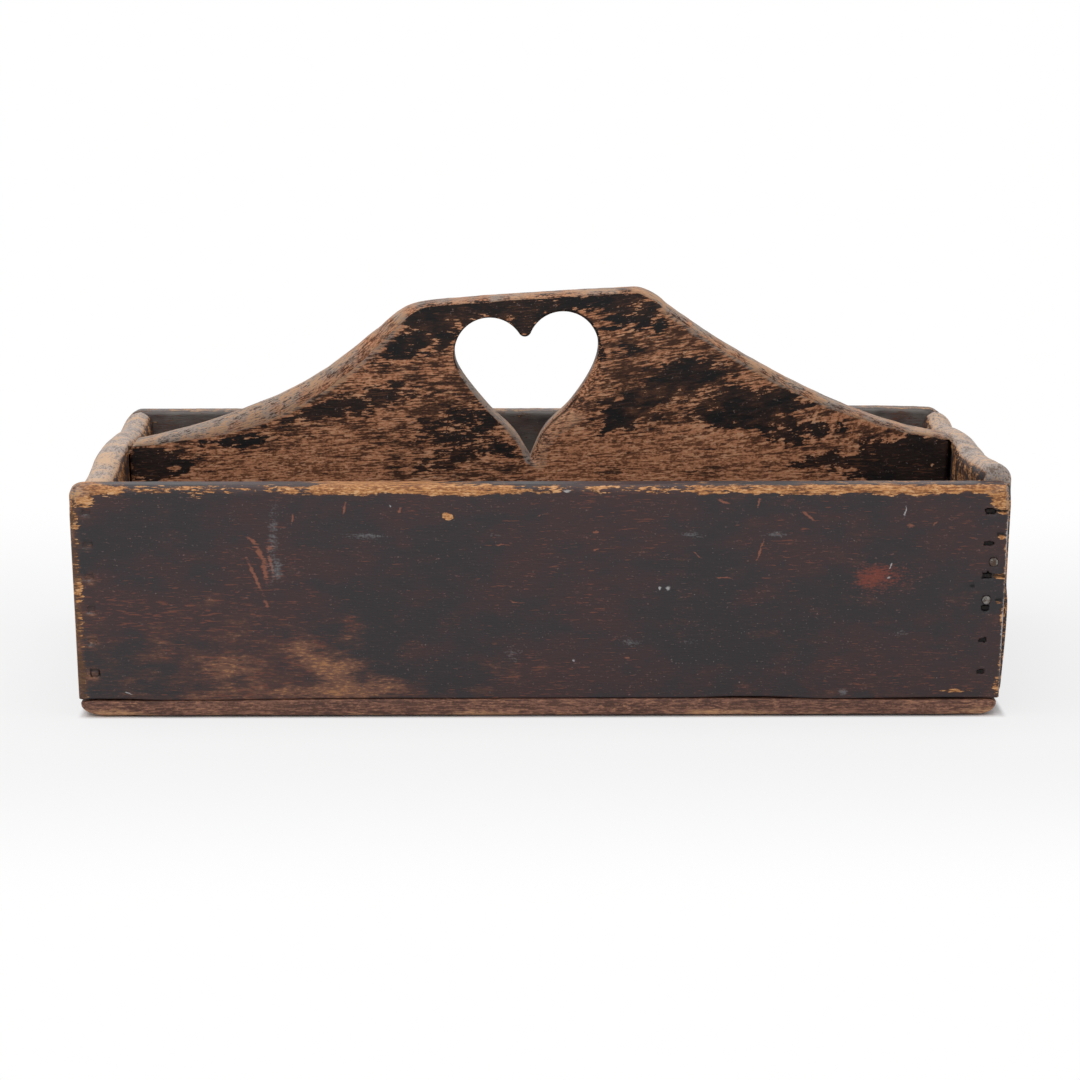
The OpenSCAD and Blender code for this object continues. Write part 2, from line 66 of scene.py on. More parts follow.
def end_outer(side, z):
    """How far an end's outer face is from the middle of the tray at height z: it leans in below the rim."""
    return HALF_LENGTH - (RIM - z) * LEAN[side]


def corner_x(side, z):
    """Place along the tray of a corner nail at height z: the middle of the end, further in on the right."""
    return side * (end_outer(side, z) - END_THICK / 2 - (RIGHT_NAIL_SHIFT if side == RIGHT else 0))


# Shapes on arrays
def smooth(low, high, value):
    """0 below low, 1 above high and an S-shaped step between them."""
    t = np.clip((value - low) / (high - low), 0, 1)
    return t * t * (3 - 2 * t)


def near(reach, soft, value):
    """1 while value is within reach, falling smoothly to 0 over soft."""
    return 1 - smooth(reach, reach + soft, np.abs(value))


def hills(a, b, size, seed):
    """Random hills about size mm apart, mostly within -1 to 1: seeded cosine waves in all directions."""
    rng = np.random.default_rng(seed)
    turn, phase = rng.uniform(0, 2 * np.pi, (2, 20))
    pitch = 2 * np.pi / size * rng.uniform(0.6, 1.6, 20)
    waves = np.multiply.outer(a, pitch * np.cos(turn)) + np.multiply.outer(b, pitch * np.sin(turn)) + phase
    return np.cos(waves).sum(-1) / 6.5


def spots(a, b, rows):
    """Sum of flat-topped spots: each falls as e to minus the cube of the distance, 1 at its rim. A row is a
    spot's place, half length, half height, tilt in degrees and strength."""
    a0, b0, long, high, tilt, strength = np.array(rows, float).T
    turn = np.radians(tilt)
    da, db = a[:, None] - a0, b[:, None] - b0
    along = (da * np.cos(turn) + db * np.sin(turn)) / long
    across = (db * np.cos(turn) - da * np.sin(turn)) / high
    return (strength * np.exp(-(along ** 2 + across ** 2) ** 1.5)).sum(1)


def bezier(a, b, c, d, count):
    """Points of the cubic curve from a to d, pulled towards b and c."""
    t = np.linspace(0, 1, count)[:, None]
    s = 1 - t
    return s ** 3 * a + 3 * s * s * t * b + 3 * s * t * t * c + t ** 3 * d


def unit(vectors):
    """A vector, or each row of vectors, cut to length 1."""
    return vectors / np.linalg.norm(vectors, axis=-1, keepdims=True)


def lines(low, high, step, fine=(), fine_step=0.42):
    """Grid lines from low to high, step apart, and fine_step apart inside each stretch of fine."""
    parts = [np.linspace(low, high, round((high - low) / step) + 1)]
    parts += [np.arange(max(low, a), min(high, b), fine_step) for a, b in fine]
    found = np.unique(np.concatenate(parts).round(3))
    keep = np.append(np.diff(found) > 0.4 * fine_step, True)
    keep[0] = True
    return found[keep]


def box_skin(lines_in, radii):
    """Closed skin of a box over grid lines on each axis, with its edges worn round.
    Each of the six faces is a grid of two axes, and shared edges are one row of points. Near an edge a point
    has a share of the way to each side, and these shares are scaled onto a quarter ellipse. radii gives, at
    each point, the ellipse at the low and the high side of each axis. Returns the points, the points before
    wear, and the quads."""
    counts = [len(axis) for axis in lines_in]
    quads = []
    for axis in range(3):
        b, c = (axis + 1) % 3, (axis + 2) % 3
        for end in (0, counts[axis] - 1):
            place = [None] * 3
            place[b], place[c] = np.meshgrid(np.arange(counts[b]), np.arange(counts[c]), indexing="ij")
            place[axis] = np.full_like(place[b], end)
            ids = (place[0] * counts[1] + place[1]) * counts[2] + place[2]
            quad = np.stack([ids[:-1, :-1], ids[1:, :-1], ids[1:, 1:], ids[:-1, 1:]], -1).reshape(-1, 4)
            quads.append(quad if end else quad[:, ::-1])
    used, quads = np.unique(np.concatenate(quads), return_inverse=True)
    index = used // (counts[1] * counts[2]), used // counts[2] % counts[1], used % counts[2]
    flat = np.stack([axis[i] for axis, i in zip(lines_in, index)], 1)
    r_low, r_high = (np.maximum(np.stack(r, 1), 0.1) for r in radii(*flat.T))
    below = np.clip(flat.min(0) + r_low - flat, 0, None)
    above = np.clip(flat - flat.max(0) + r_high, 0, None)
    share = above / r_high - below / r_low
    length = np.maximum(np.linalg.norm(share, axis=1, keepdims=True), 1e-9)
    turned = share * np.abs(share).max(1, keepdims=True) / length
    worn = flat - above + below + np.where(turned > 0, turned * r_high, turned * r_low)
    return worn, flat, quads.reshape(-1, 4)


# Weights that every board carries: wood rubbed bare, thin paint, pale patina (on the front partly a painted
# highlight), painted shade with some grime in hollows and gaps, a red rub and grey smears
WEIGHTS = ("bare", "thin", "pale", "shade_and_grime", "rub", "smear")


def piece(name, points, quads, weights, grain, material, slot):
    """A worn board from its points in millimetres, its quads, its weights and its grain: a place along the
    wood, through it and across it at every point. It stands for the CAD node of its name."""
    mesh = bpy.data.meshes.new("worn_" + name)
    mesh.vertices.add(len(points))
    mesh.vertices.foreach_set("co", (points * MM).astype(np.float32).ravel())
    mesh.loops.add(quads.size)
    mesh.loops.foreach_set("vertex_index", quads.astype(np.int32).ravel())
    mesh.polygons.add(len(quads))
    mesh.polygons.foreach_set("loop_start", np.arange(0, quads.size, 4, dtype=np.int32))
    mesh.update(calc_edges=True)
    mesh.shade_smooth()
    for key in WEIGHTS:
        values = np.broadcast_to(weights.get(key, 0.0), len(points)).astype(np.float32)
        mesh.attributes.new(key, "FLOAT", "POINT").data.foreach_set("value", values)
    along = mesh.attributes.new("grain", "FLOAT_VECTOR", "POINT")
    along.data.foreach_set("vector", grain.astype(np.float32).ravel())
    mesh.materials.append(material)
    board = bpy.data.objects.new("worn_" + name, mesh)
    scene.collection.objects.link(board)
    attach(board, "root")
    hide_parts(name)


# Materials
def linear(code):
    """A colour written as sRGB hex, as the linear colour that a shader takes."""
    values = [int(code[i:i + 2], 16) / 255 for i in (1, 3, 5)]
    return (*(v / 12.92 if v <= 0.04045 else ((v + 0.055) / 1.055) ** 2.4 for v in values), 1.0)


def add(tree, kind, inputs=(), out=0, **settings):
    """Add one node with its settings. Each input is a value or a socket. Returns one of its own sockets."""
    node = tree.nodes.new("ShaderNode" + kind)
    for key, value in settings.items():
        setattr(node, key, value)
    for key, value in inputs.items() if isinstance(inputs, dict) else enumerate(inputs):
        if isinstance(value, bpy.types.NodeSocket):
            tree.links.new(value, node.inputs[key])
        else:
            node.inputs[key].default_value = value
    return node.outputs[out]


def new_material(name):
    """A material with only a principled shader. Returns it, its node tree and the shader."""
    material = bpy.data.materials.new(name)
    material.use_nodes = True
    return material, material.node_tree, material.node_tree.nodes["Principled BSDF"]


def millimetres(tree):
    """A piece's own coordinates in millimetres."""
    return add(tree, "VectorMath", {0: add(tree, "TexCoord", out=3), "Scale": 1 / MM}, operation="SCALE")


def nearest_mark(tree, coords, face, rows):
    """Distance to the nearest of several marks, 1 at the rim of each and at most far. A row is a mark's place
    along and up the board, half length, half height and tilt in degrees: an ellipse, deep at the face."""
    deep, far = 4, 9.0
    nearest = far
    for x, z, long, high, tilt in rows:
        local = add(tree, "Mapping", {
            "Vector": coords, "Location": (x, face, z), "Rotation": (0, -math.radians(tilt), 0),
            "Scale": (long, deep, high)}, vector_type="TEXTURE")
        reach = add(tree, "VectorMath", (local,), 1, operation="LENGTH")
        nearest = add(tree, "Math", (reach, nearest), operation="MINIMUM")
    return nearest


# Patterns of wood and paint: length along the grain and width across it in millimetres, detail and roughness.
# Fibre, fleck, dash and grit are drawn coarser than on real wood, because they would be too fine to show
PATTERNS = {
    "cloud": (48.0, 30.0, 3, 0.5), "patch": (13.0, 6.5, 5, 0.66), "jag": (7.0, 1.2, 4, 0.66),
    "fleck": (2.4, 0.6, 2, 0.6), "fibre": (15.0, 0.5, 2, 0.6), "dash": (5.0, 0.6, 2, 0.5),
    "grit": (0.9, 0.8, 1, 0.5)}
# Each pattern starts this much further on in the noise than the last one, so that no two line up
NEXT_PATTERN = (7.3, 3.1, 5.7)


def aged_pine(name, colours, face=-HALF_DEPTH, rag=1.0, shine=0.3, chips=(), marks=()):
    """Pine under old paint that has worn away. The board's weights say where, and noise along the grain
    breaks up the rim of each patch, more so with a larger rag. On the face at that depth, chips are bare
    spots in the paint, and marks are rows of scratches, specks and painted highlight lines with their
    colour and strength."""
    material, tree, shader = new_material(name)
    grain = add(tree, "Attribute", out=1, attribute_name="grain")
    weight = {key: add(tree, "Attribute", out=2, attribute_name=key) for key in WEIGHTS}
    noise = {}
    for step, (key, (length, width, detail, rough)) in enumerate(PATTERNS.items()):
        placed = add(tree, "Mapping", {
            "Vector": grain, "Location": [step * v for v in NEXT_PATTERN],
            "Scale": (1 / length, 1 / width, 1 / width)})
        noise[key] = add(tree, "TexNoise", {
            "Vector": placed, "Scale": 1.0, "Detail": detail, "Roughness": rough})

    def broken(start, **shares):
        """A weight with shares of the patterns added, each measured from its middle."""
        for key, share in shares.items():
            from_middle = add(tree, "Math", (noise[key], 0.5), operation="SUBTRACT")
            start = add(tree, "Math", (from_middle, share, start), operation="MULTIPLY_ADD")
        return start

    def layer(under, mask, low, high, strength, over):
        """A colour laid over another where a mask climbs from low to high."""
        share = add(tree, "MapRange", (mask, low, high, 0, strength), interpolation_type="SMOOTHSTEP")
        over = linear(colours[over]) if isinstance(over, str) else over
        return add(tree, "Mix", {0: share, 6: under, 7: over}, 2, data_type="RGBA")

    # Paint: cool and warm clouds, dust, freckles, and the coat below in hazes, dashes and rubbed patches
    thin = weight["thin"]
    worn = broken(thin, patch=1.5, jag=0.9, fleck=0.6)
    clouds = broken(0.5, cloud=1.1, patch=0.8)
    paint = layer(linear(colours["paint_cool"]), clouds, 0.36, 0.66, 1, "paint_warm")
    paint = layer(paint, broken(0.5, fibre=0.3, jag=0.6, patch=0.5), 0.5, 0.66, 0.5, "paint_dark")
    # On the front's rim and right edge, pale is partly a painted highlight, and this dust lightens the paint
    # there
    paint = layer(paint, broken(weight["pale"], jag=0.5, patch=0.5), 0, 1, 0.8, "dust")
    paint = layer(paint, broken(0.5, fleck=1.3, grit=0.7), 0.72, 0.88, 0.55, "freckle")
    paint = layer(paint, worn, 0.15, 0.75, 0.75, "undercoat")
    little = add(tree, "Math", (thin, 0.25), operation="MULTIPLY")
    paint = layer(paint, broken(little, dash=1.8, cloud=0.7), 0.33, 0.44, 0.65, "dash")
    paint = layer(paint, worn, 0.5, 0.85, 0.75, "rubbed")
    paint = layer(paint, broken(worn, fleck=1.2), 0.85, 1.15, 0.5, "wood_light")
    paint = layer(paint, broken(weight["rub"], patch=1, fleck=1.4, grit=0.8), 0.2, 0.95, 0.85, "rub")
    # Bare wood: growth lines, pale flecks, grime along the grain, and patina where hands have polished it
    growth = broken(0.5, fibre=0.7, fleck=1.1, grit=0.4, jag=0.5, patch=0.4)
    wood = layer(linear(colours["wood_dark"]), growth, 0.38, 0.62, 1, "wood_light")
    wood = layer(wood, broken(0.5, fleck=1.1, patch=0.6), 0.58, 0.72, 0.7, "wood_fleck")
    # On the handle, thin also carries painted shade just above the front board's rim, and this grime darkens
    # the wood there
    clean = add(tree, "Math", (thin, -0.45, 0.66), operation="MULTIPLY_ADD")
    clean = broken(clean, fibre=0.5, jag=0.8, patch=0.6, cloud=0.5, fleck=0.5)
    wood = layer(wood, clean, 0.54, 0.3, 0.9, "grime")
    handled = broken(0.5, jag=0.8, fleck=0.8, patch=0.8)
    patina = layer(linear(colours["patina_dark"]), handled, 0.32, 0.46, 1, "patina_grey")
    patina = layer(patina, broken(0.5, patch=1.1, fleck=0.8, cloud=0.5, jag=0.5), 0.44, 0.6, 1, "patina_tan")
    # On the front's rim and right edge this patina is partly a painted highlight
    wood = layer(wood, broken(weight["pale"], jag=0.6, patch=0.5), 0.25, 0.75, 0.92, patina)
    # Where the paint is gone, with a dark rim of half-worn paint round it. Chips and marks have torn rims
    lost = broken(weight["bare"], jag=0.75 * rag, patch=0.65 * rag, fleck=0.45 * rag)
    tear, where = 1.6, millimetres(tree)
    swirl = add(tree, "TexNoise", {"Vector": where, "Scale": 0.6, "Detail": 3.0}, 1)
    ragged = add(tree, "VectorMath", {0: swirl, 1: [tear] * 3, 2: where}, operation="MULTIPLY_ADD")
    ragged = add(tree, "VectorMath", (ragged, [tear / 2] * 3), operation="SUBTRACT")
    if chips:
        chipped = add(tree, "MapRange", (nearest_mark(tree, ragged, face, chips), 1.05, 0.75, 0, 0.9))
        lost = add(tree, "Math", (lost, chipped), operation="ADD")
    colour = layer(paint, lost, 0.38, 0.46, 1, "border")
    bared = add(tree, "MapRange", (lost, 0.46, 0.53), interpolation_type="SMOOTHSTEP")
    colour = add(tree, "Mix", {0: bared, 6: colour, 7: wood}, 2, data_type="RGBA")
    for rows, key, strength in marks:
        inside = add(tree, "Math", (1.3, nearest_mark(tree, ragged, face, rows)), operation="SUBTRACT")
        colour = layer(colour, broken(inside, fleck=1.8, jag=1.2, patch=0.8), 0.35, 0.95, strength, key)
    colour = layer(colour, broken(weight["smear"], fleck=1.6, grit=1.2, patch=0.6), 0.25, 1.1, 0.6, "smear")
    colour = layer(colour, noise["grit"], 0.74, 0.79, 0.45, "grit")
    # Painted shade, with some grime, laid on in near black in hollows, gaps and housings
    colour = layer(colour, weight["shade_and_grime"], 0, 1, 1, "shade_and_grime")
    tree.links.new(colour, shader.inputs["Base Color"])
    # Paint is smoother than wood, and stands a little above it
    gloss = add(tree, "MapRange", (bared, 0, 1, 0.36, 0.52))
    rough = add(tree, "Math", (noise["patch"], 0.2, gloss), operation="MULTIPLY_ADD")
    tree.links.new(rough, shader.inputs["Roughness"])
    relief = broken(0.0, fibre=0.25, fleck=0.5, jag=0.35)
    height = add(tree, "Math", (bared, -0.2, relief), operation="MULTIPLY_ADD")
    bump = add(tree, "Bump", {"Height": height, "Strength": 0.55, "Distance": 0.0006})
    tree.links.new(bump, shader.inputs["Normal"])
    shader.inputs["Specular IOR Level"].default_value = shine
    return material


# Old paint on pine: charcoal over a red-brown coat, rubbed through to tan wood on every edge
BOX_PAINT = {
    "paint_cool": "#2b2629", "paint_warm": "#392728", "paint_dark": "#242023", "dust": "#6a6560",
    "freckle": "#54453f", "undercoat": "#4f342b", "dash": "#6e4030", "rubbed": "#76513f", "rub": "#74382a",
    "border": "#452c22", "wood_dark": "#7f5130", "wood_light": "#b98250", "wood_fleck": "#d4a87c",
    "grime": "#463023", "patina_dark": "#4a433f", "patina_grey": "#7d787a", "patina_tan": "#b08a66",
    "scratch": "#83503d", "smear": "#6f7072", "speck_and_highlight": "#b4b2b2", "grit": "#8d8681", "shade_and_grime": "#070505"}
# End boards: the same paint, but their tops are bare and polished pale by handling
END_PAINT = {**BOX_PAINT, "patina_dark": "#7c6c61", "patina_grey": "#a09793", "patina_tan": "#c4a488"}
# The handle board lost most of its paint: brown wood in streaks, black paint left in ragged islands
HANDLE_PAINT = {
    **BOX_PAINT, "paint_cool": "#131112", "paint_warm": "#221815", "paint_dark": "#0e0c0c", "dust": "#4b423d",
    "freckle": "#75645a", "undercoat": "#3a251c", "dash": "#5a3a2a", "rubbed": "#5d3e2d", "border": "#2d1c15",
    "wood_dark": "#6c4530", "wood_light": "#b97f5d", "wood_fleck": "#d4a480", "grime": "#38241b",
    "patina_dark": "#42332c", "patina_grey": "#91877f", "patina_tan": "#b08c6e"}
# The bottom board is stained brown, and tan where its edge rubs on tables
BOTTOM_STAIN = {
    **HANDLE_PAINT, "paint_cool": "#54392f", "paint_warm": "#5f4034", "paint_dark": "#4a332b",
    "freckle": "#6b4c3d", "border": "#5a3d31", "undercoat": "#63443a", "wood_dark": "#563a2f",
    "wood_light": "#7b5546", "wood_fleck": "#a47659", "grime": "#49312a", "patina_dark": "#7a523e",
    "patina_grey": "#a0785c", "patina_tan": "#b98b65"}

# Marks on the front and on the handle: place along the tray, height, half length, half height and tilt
SCRATCHES = (
    (-118.2, 73.6, 2.6, 0.8, -38), (-114.7, 67.2, 6.2, 1.5, -62), (-113.3, 60.9, 5.8, 1.5, -77),
    (-117.2, 58.4, 9.6, 0.9, -66), (-110.8, 64.2, 7.2, 0.9, -77), (-110.9, 70.5, 2.4, 1.3, 0),
    (-113.0, 47.5, 2.4, 1.1, -60), (-101.6, 82.5, 3.4, 0.4, 80), (-80.5, 87.0, 3.4, 0.6, 85),
    (73.4, 89.5, 3.4, 0.7, -15), (87.6, 88.7, 2.6, 0.6, 80), (63.0, 67.3, 2.6, 0.6, -40),
    (88.4, 69.0, 5.9, 0.45, 72), (73.9, 57.7, 4.3, 0.4, -3), (149.5, 79.3, 2.2, 0.9, 0),
    (159.8, 80.5, 1.8, 0.5, 40), (-17.5, 71.6, 3.8, 0.5, 5), (-11.8, 47.8, 2.2, 0.5, -12),
    (-58.0, 86.2, 1.2, 0.6, 60), (-1.6, 83.8, 1.3, 0.6, 60), (21.5, 77.1, 1.3, 0.6, 0),
    (21.2, 69.7, 1.5, 0.5, 10), (108.3, 83.1, 3.7, 0.7, -40), (34.9, 24.2, 1.6, 0.6, 0))
CHIPS = ((-38.6, 83.4, 2.6, 1.5, -15),)
# Pale specks on the front, and two long lines down its right edge that are a painted highlight
SPECKS_AND_HIGHLIGHTS = (
    (47.7, 53.3, 0.6, 1.2, 10), (51.0, 53.3, 1.0, 1.1, 20), (141.2, 57.6, 1.0, 0.7, 0),
    (141.9, 63.0, 2.0, 0.3, 70), (147.3, 85.5, 3.2, 0.35, 80), (12.6, 23.4, 0.8, 0.6, 40),
    (-170.2, 9.7, 1.6, 0.35, -25), (-62.0, 87.8, 0.9, 0.4, 70), (9.6, 93.9, 2.0, 0.9, 0),
    # These last two rows are a painted highlight along the front's right edge
    (189.0, 72, 20, 0.5, 88.7), (188.2, 36, 25, 0.45, 88.7))
HANDLE_CRACKS = ((-121.0, 98.2, 2.2, 0.5, 85), (-40.1, 107.8, 6.0, 0.4, 82))
HANDLE_DOTS = ((170.1, 87.8, 0.9, 0.9, 0), (-178.4, 86.9, 1.1, 0.6, 75))

front_paint = aged_pine("milk_paint_brushed_on_pine_front", BOX_PAINT, rag=1.3, chips=CHIPS,
                        marks=((SCRATCHES, "scratch", 0.85), (SPECKS_AND_HIGHLIGHTS, "speck_and_highlight", 0.7)))
back_paint = aged_pine("milk_paint_brushed_on_pine", BOX_PAINT)
end_paint = aged_pine("milk_paint_on_pine_with_handled_top", END_PAINT)
handle_wood = aged_pine("pine_sawn_planed_and_handled", HANDLE_PAINT, face=-DIVIDER_THICK / 2, rag=1.5,
                        shine=0.18, marks=((HANDLE_CRACKS, "grime", 0.9), (HANDLE_DOTS, "wood_fleck", 0.9)))
bottom_wood = aged_pine("pine_planed_and_stained", BOTTOM_STAIN)


# The long sides
def side_radii(x, d, z, blunt):
    """Worn edges of a long side: broad along the rim on its outer face, rounder at the top left corner.
    blunt is how much further, in millimetres, the top corners are worn off."""
    rough = 0.6 * hills(x, z, 19, 3) + 0.35 * hills(x, z, 6, 4)
    top = smooth(BOARD - 14, BOARD - 7, z)
    left, right = near(6, 6, x - SIDE_LEFT), near(6, 6, SIDE_RIGHT - x)
    inner = d / SIDE_THICK
    # Along the tray, through the board and up
    low = [1.5 + 0.4 * rough + (4.2 + 0.5 * blunt) * top,
           0.45 + top * (2.5 + 0.8 * rough) + (1 - top) * (0.9 * left + 0.5 * right),
           0.5 + 0.1 * rough]
    high = [1.0 + 0.3 * rough + (2.2 + 0.8 * blunt) * top,
            0.45 + top * (1.5 + 0.4 * rough),
            (3.4 + 0.9 * rough) * (1 - inner) + 2 * inner + 1.4 * left + blunt * np.maximum(left, right)]
    return low, high


def foot_drop(x):
    """How far the front foot of the tray sags at its two ends."""
    return 0.7 * smooth(60, 170, np.abs(x))


def long_side(face, blunt, holes):
    """A long side as a worn box, drawn in at both ends towards its foot. A hole is a place on the outer face,
    its half width, half height and depth. Returns the points, the points of the plain box (along the tray,
    depth from the outer face, height above the foot), the quads and the depth of the holes."""
    windows = [(z - FOOT - 1.5, z - FOOT + 1.5) for z in CORNER_NAILS]
    worn, flat, quads = box_skin((
        lines(SIDE_LEFT, SIDE_RIGHT, 1.5, [(SIDE_LEFT, SIDE_LEFT + 10), (SIDE_RIGHT - 13, SIDE_RIGHT)]),
        np.array([0, 0.35, 0.8, 1.4, 2.1, 2.9, 3.8, 5, 6.5, 8, 9, 9.8, 10.4, 10.75, SIDE_THICK]),
        lines(0, BOARD, 1.15, [(0, 1.2), (BOARD - 6, BOARD)] + windows)), lambda *at: side_radii(*at, blunt))
    x, d, z = worn.T
    draw_in = (BOARD - z) * LEAN[LEFT]
    share = (x - SIDE_LEFT) / (SIDE_RIGHT - SIDE_LEFT)
    x = SIDE_LEFT + draw_in + share * (SIDE_RIGHT - SIDE_LEFT - 2 * draw_in)
    gap = 0.25 + 0.7 * spots(x, 0 * x, [
        (-177, 0, 14, 1, 0, 1), (86, 0, 18, 1, 0, 0.9), (160, 0, 30, 1, 0, 0.9)])
    z = FOOT + z + gap * near(0, 7, z) - (face == FRONT) * foot_drop(x) * near(0, 25, z)
    depth = np.zeros(len(x))
    torn_x, torn_z = x + 0.4 * hills(x, z, 4, 11), z + 0.3 * hills(x, z, 3, 12)
    for hole_x, hole_z, half_width, half_height, hole_depth in holes:
        inside = near(half_width - 0.1, 0.4, torn_x - hole_x) * near(half_height - 0.1, 0.4, torn_z - hole_z)
        depth = np.maximum(depth, hole_depth * inside)
    if face == FRONT:
        for place, out in WIRE_NAILS:
            wire_z = CORNER_NAILS[0] - place * (CORNER_NAILS[0] - CORNER_NAILS[1])
            away = np.hypot(x - corner_x(RIGHT, wire_z) - out, z - wire_z)
            depth = np.maximum(depth, 0.9 * near(1.7, 0.3, away))
    depth *= flat[:, 1] == 0
    d = np.maximum(d + depth + 0.2 * hills(x, z, 95, 9), 0)
    quads = quads if face == FRONT else quads[:, ::-1]
    return np.stack([x, face * (HALF_DEPTH - d), z], 1), flat, quads, depth


def front_board():
    """The front: its left nails are dents under the paint, its right nails open holes, some split to the
    edge."""
    left_dents = [(corner_x(LEFT, h), h, 1.6, 1.1, 0.7) for h in CORNER_NAILS[:-1]]
    left_head = [(corner_x(LEFT, CORNER_NAILS[-1]), CORNER_NAILS[-1], 2.0, 1.5, 1.1)]
    hole_sizes = ((1.9, 0.9), (1.6, 0.7), (1.9, 1.2), (1.5, 1.1), (1.4, 0.8), (1.4, 0.7))
    right_holes = [(corner_x(RIGHT, h), h, *size, 1.6) for h, size in zip(CORNER_NAILS, hole_sizes)]
    splits = [(187.2, 85.4, 3.4, 0.4, 1.0), (186.6, 75.5, 1.3, 0.6, 1.2), (174.9, 54.3, 1.1, 0.4, 1.2),
              (186.5, 58.4, 2.6, 0.6, 0.9), (186.2, 48.2, 1.3, 0.5, 1.2)]
    points, flat, quads, pocket = long_side(FRONT, 0, left_dents + left_head + right_holes + splits)
    x, _, z = points.T
    head_x, head_z = left_head[0][:2]
    head = 0.95 * near(1.3, 0.3, x - head_x) * near(0.9, 0.3, z - head_z) * (flat[:, 1] == 0)
    points[:, 1] -= head
    pocket -= head
    d, down = flat[:, 1], BOARD - flat[:, 2]
    from_left, from_right = flat[:, 0] - SIDE_LEFT, SIDE_RIGHT - flat[:, 0]
    outside = near(0.2, 0.5, d)

    def outer_spots(rows):
        return outside * spots(x, z, rows)

    rough = hills(x, z, 14, 21)
    # How bare the rim is along the tray
    rim = np.interp(x, [-191, -177, -168, -150, -114, -98, -90, -41, -16, -8, 23, 55, 65, 100, 188],
                    [0.8, 0.72, 0.5, 0.44, 0.44, 0.52, 0.74, 0.74, 0.64, 0.46, 0.42, 0.46, 0.64, 0.66, 0.76])
    bare_top = spots(x, 0 * x, [(-68, 0, 28, 1, 0, 1), (-187, 0, 8, 1, 0, 0.6)])
    rim_band = rim * near(2.4, 3.6, down + 0.8 * rough) * (1 - 0.5 * smooth(0.3, 2.4, d) * (1 - bare_top))
    corners = spots(x, z, [
        (-187.5, 93, 6.5, 6.5, 0, 0.74), (186, 90.5, 7.5, 4.5, -35, 0.74), (-188.5, 10, 4, 4, 0, 0.6),
        (186.5, 12, 2.2, 5, 0, 0.56)]) * near(4, 3, d)
    left_edge = (0.56 + 0.14 * rough) * near(1.4, 5.5, from_left) * near(3, 4, d)
    right_edge = (0.44 + 0.12 * rough) * near(0.3, 2.2, from_right) * near(3, 4, d)
    breaks = outer_spots([
        (187.4, 85.0, 3, 1.4, 0, 0.7), (187.0, 58.0, 3.4, 1.6, 0, 0.72), (171, 10.2, 9, 1.2, 0, 0.62),
        (187, 74.6, 2, 1.4, 0, 0.66), (186.4, 47.4, 2, 1.2, 0, 0.66)])
    thin = outer_spots([
        (-128.2, 20.2, 12, 6.5, 0, 0.42), (-99.1, 26.5, 9, 6, 0, 0.42), (-85.2, 20.2, 10, 8, 0, 0.5),
        (-69.3, 11.7, 19, 6, 0, 0.42), (-99.7, 9.2, 46, 3.2, 0, 0.25), (-78, 36.2, 6, 6, 40, 0.4),
        (-15.5, 20, 10, 5, 0, 0.4), (-26.2, 10.9, 6, 3, 0, 0.4), (0.9, 20, 6, 3.2, 20, 0.35),
        (-138.6, 47.8, 7, 3, 10, 0.35), (-155.3, 31.2, 5, 1.2, -8, 0.4), (-132, 24, 72, 27, 0, 0.36)])
    thin += outer_spots([
        (row[0] - 0.6, row[1] - 0.6, 4, 3.2, 0, 0.5) for row in left_dents + left_head])
    thin += 0.85 * near(0.5, 4.5, from_left) * outside
    thin += 0.1 * smooth(0, 120, x) + 0.04 * rough + 0.12 * near(0, 14, z - FOOT)
    smear = outer_spots([
        (-71.9, 75.2, 9.5, 1.1, 0, 0.8), (60.6, 75.9, 6, 1.2, 0, 0.7), (95.2, 76.1, 5.6, 0.9, 0, 0.8),
        (-19.5, 75.8, 3.4, 0.7, 0, 0.6), (-109.7, 73.8, 17, 2.6, 88, 0.6), (-107.8, 61.3, 4.5, 1.8, 88, 0.7),
        (36.3, 30.5, 3.8, 1.8, -15, 0.7), (-12.6, 25.9, 3.8, 3.4, 0, 0.45), (60.3, 30.9, 3, 1, 10, 0.6),
        (146.3, 34.5, 3.4, 1.4, 0, 0.5), (123.5, 9.4, 1.6, 1.3, 15, 1.2)])
    smear += outer_spots([(row[0] - 1, row[1] - 1.4, 2.4, 1, 0, 0.55) for row in left_dents])
    painted_nails = near(0, 6, x - corner_x(LEFT, 50))
    return points, quads, {
        "bare": np.maximum.reduce([rim_band, corners, left_edge, right_edge, breaks]),
        "thin": thin, "smear": smear,
        # The pale along the right edge, and part of it on the rim, is a painted highlight; the rest is patina
        "pale": 0.35 * corners + 0.3 * left_edge + 0.4 * near(0.3, 1.2, from_right) + 0.3 * rim_band,
        "rub": outer_spots([(137.6, 58, 12, 6, 8, 0.6), (134.3, 58.9, 6.5, 4, 20, 0.25),
                            (-79, 38, 5.5, 4, 40, 0.4), (-90, 31.6, 5, 3.5, 0, 0.35)]),
        # Nail holes and splits get painted shade with some grime, less where the left nails are painted over
        "shade_and_grime": np.clip(pocket / 1.2, 0, 0.95) * (1 - 0.8 * painted_nails * (z > 25))}, points


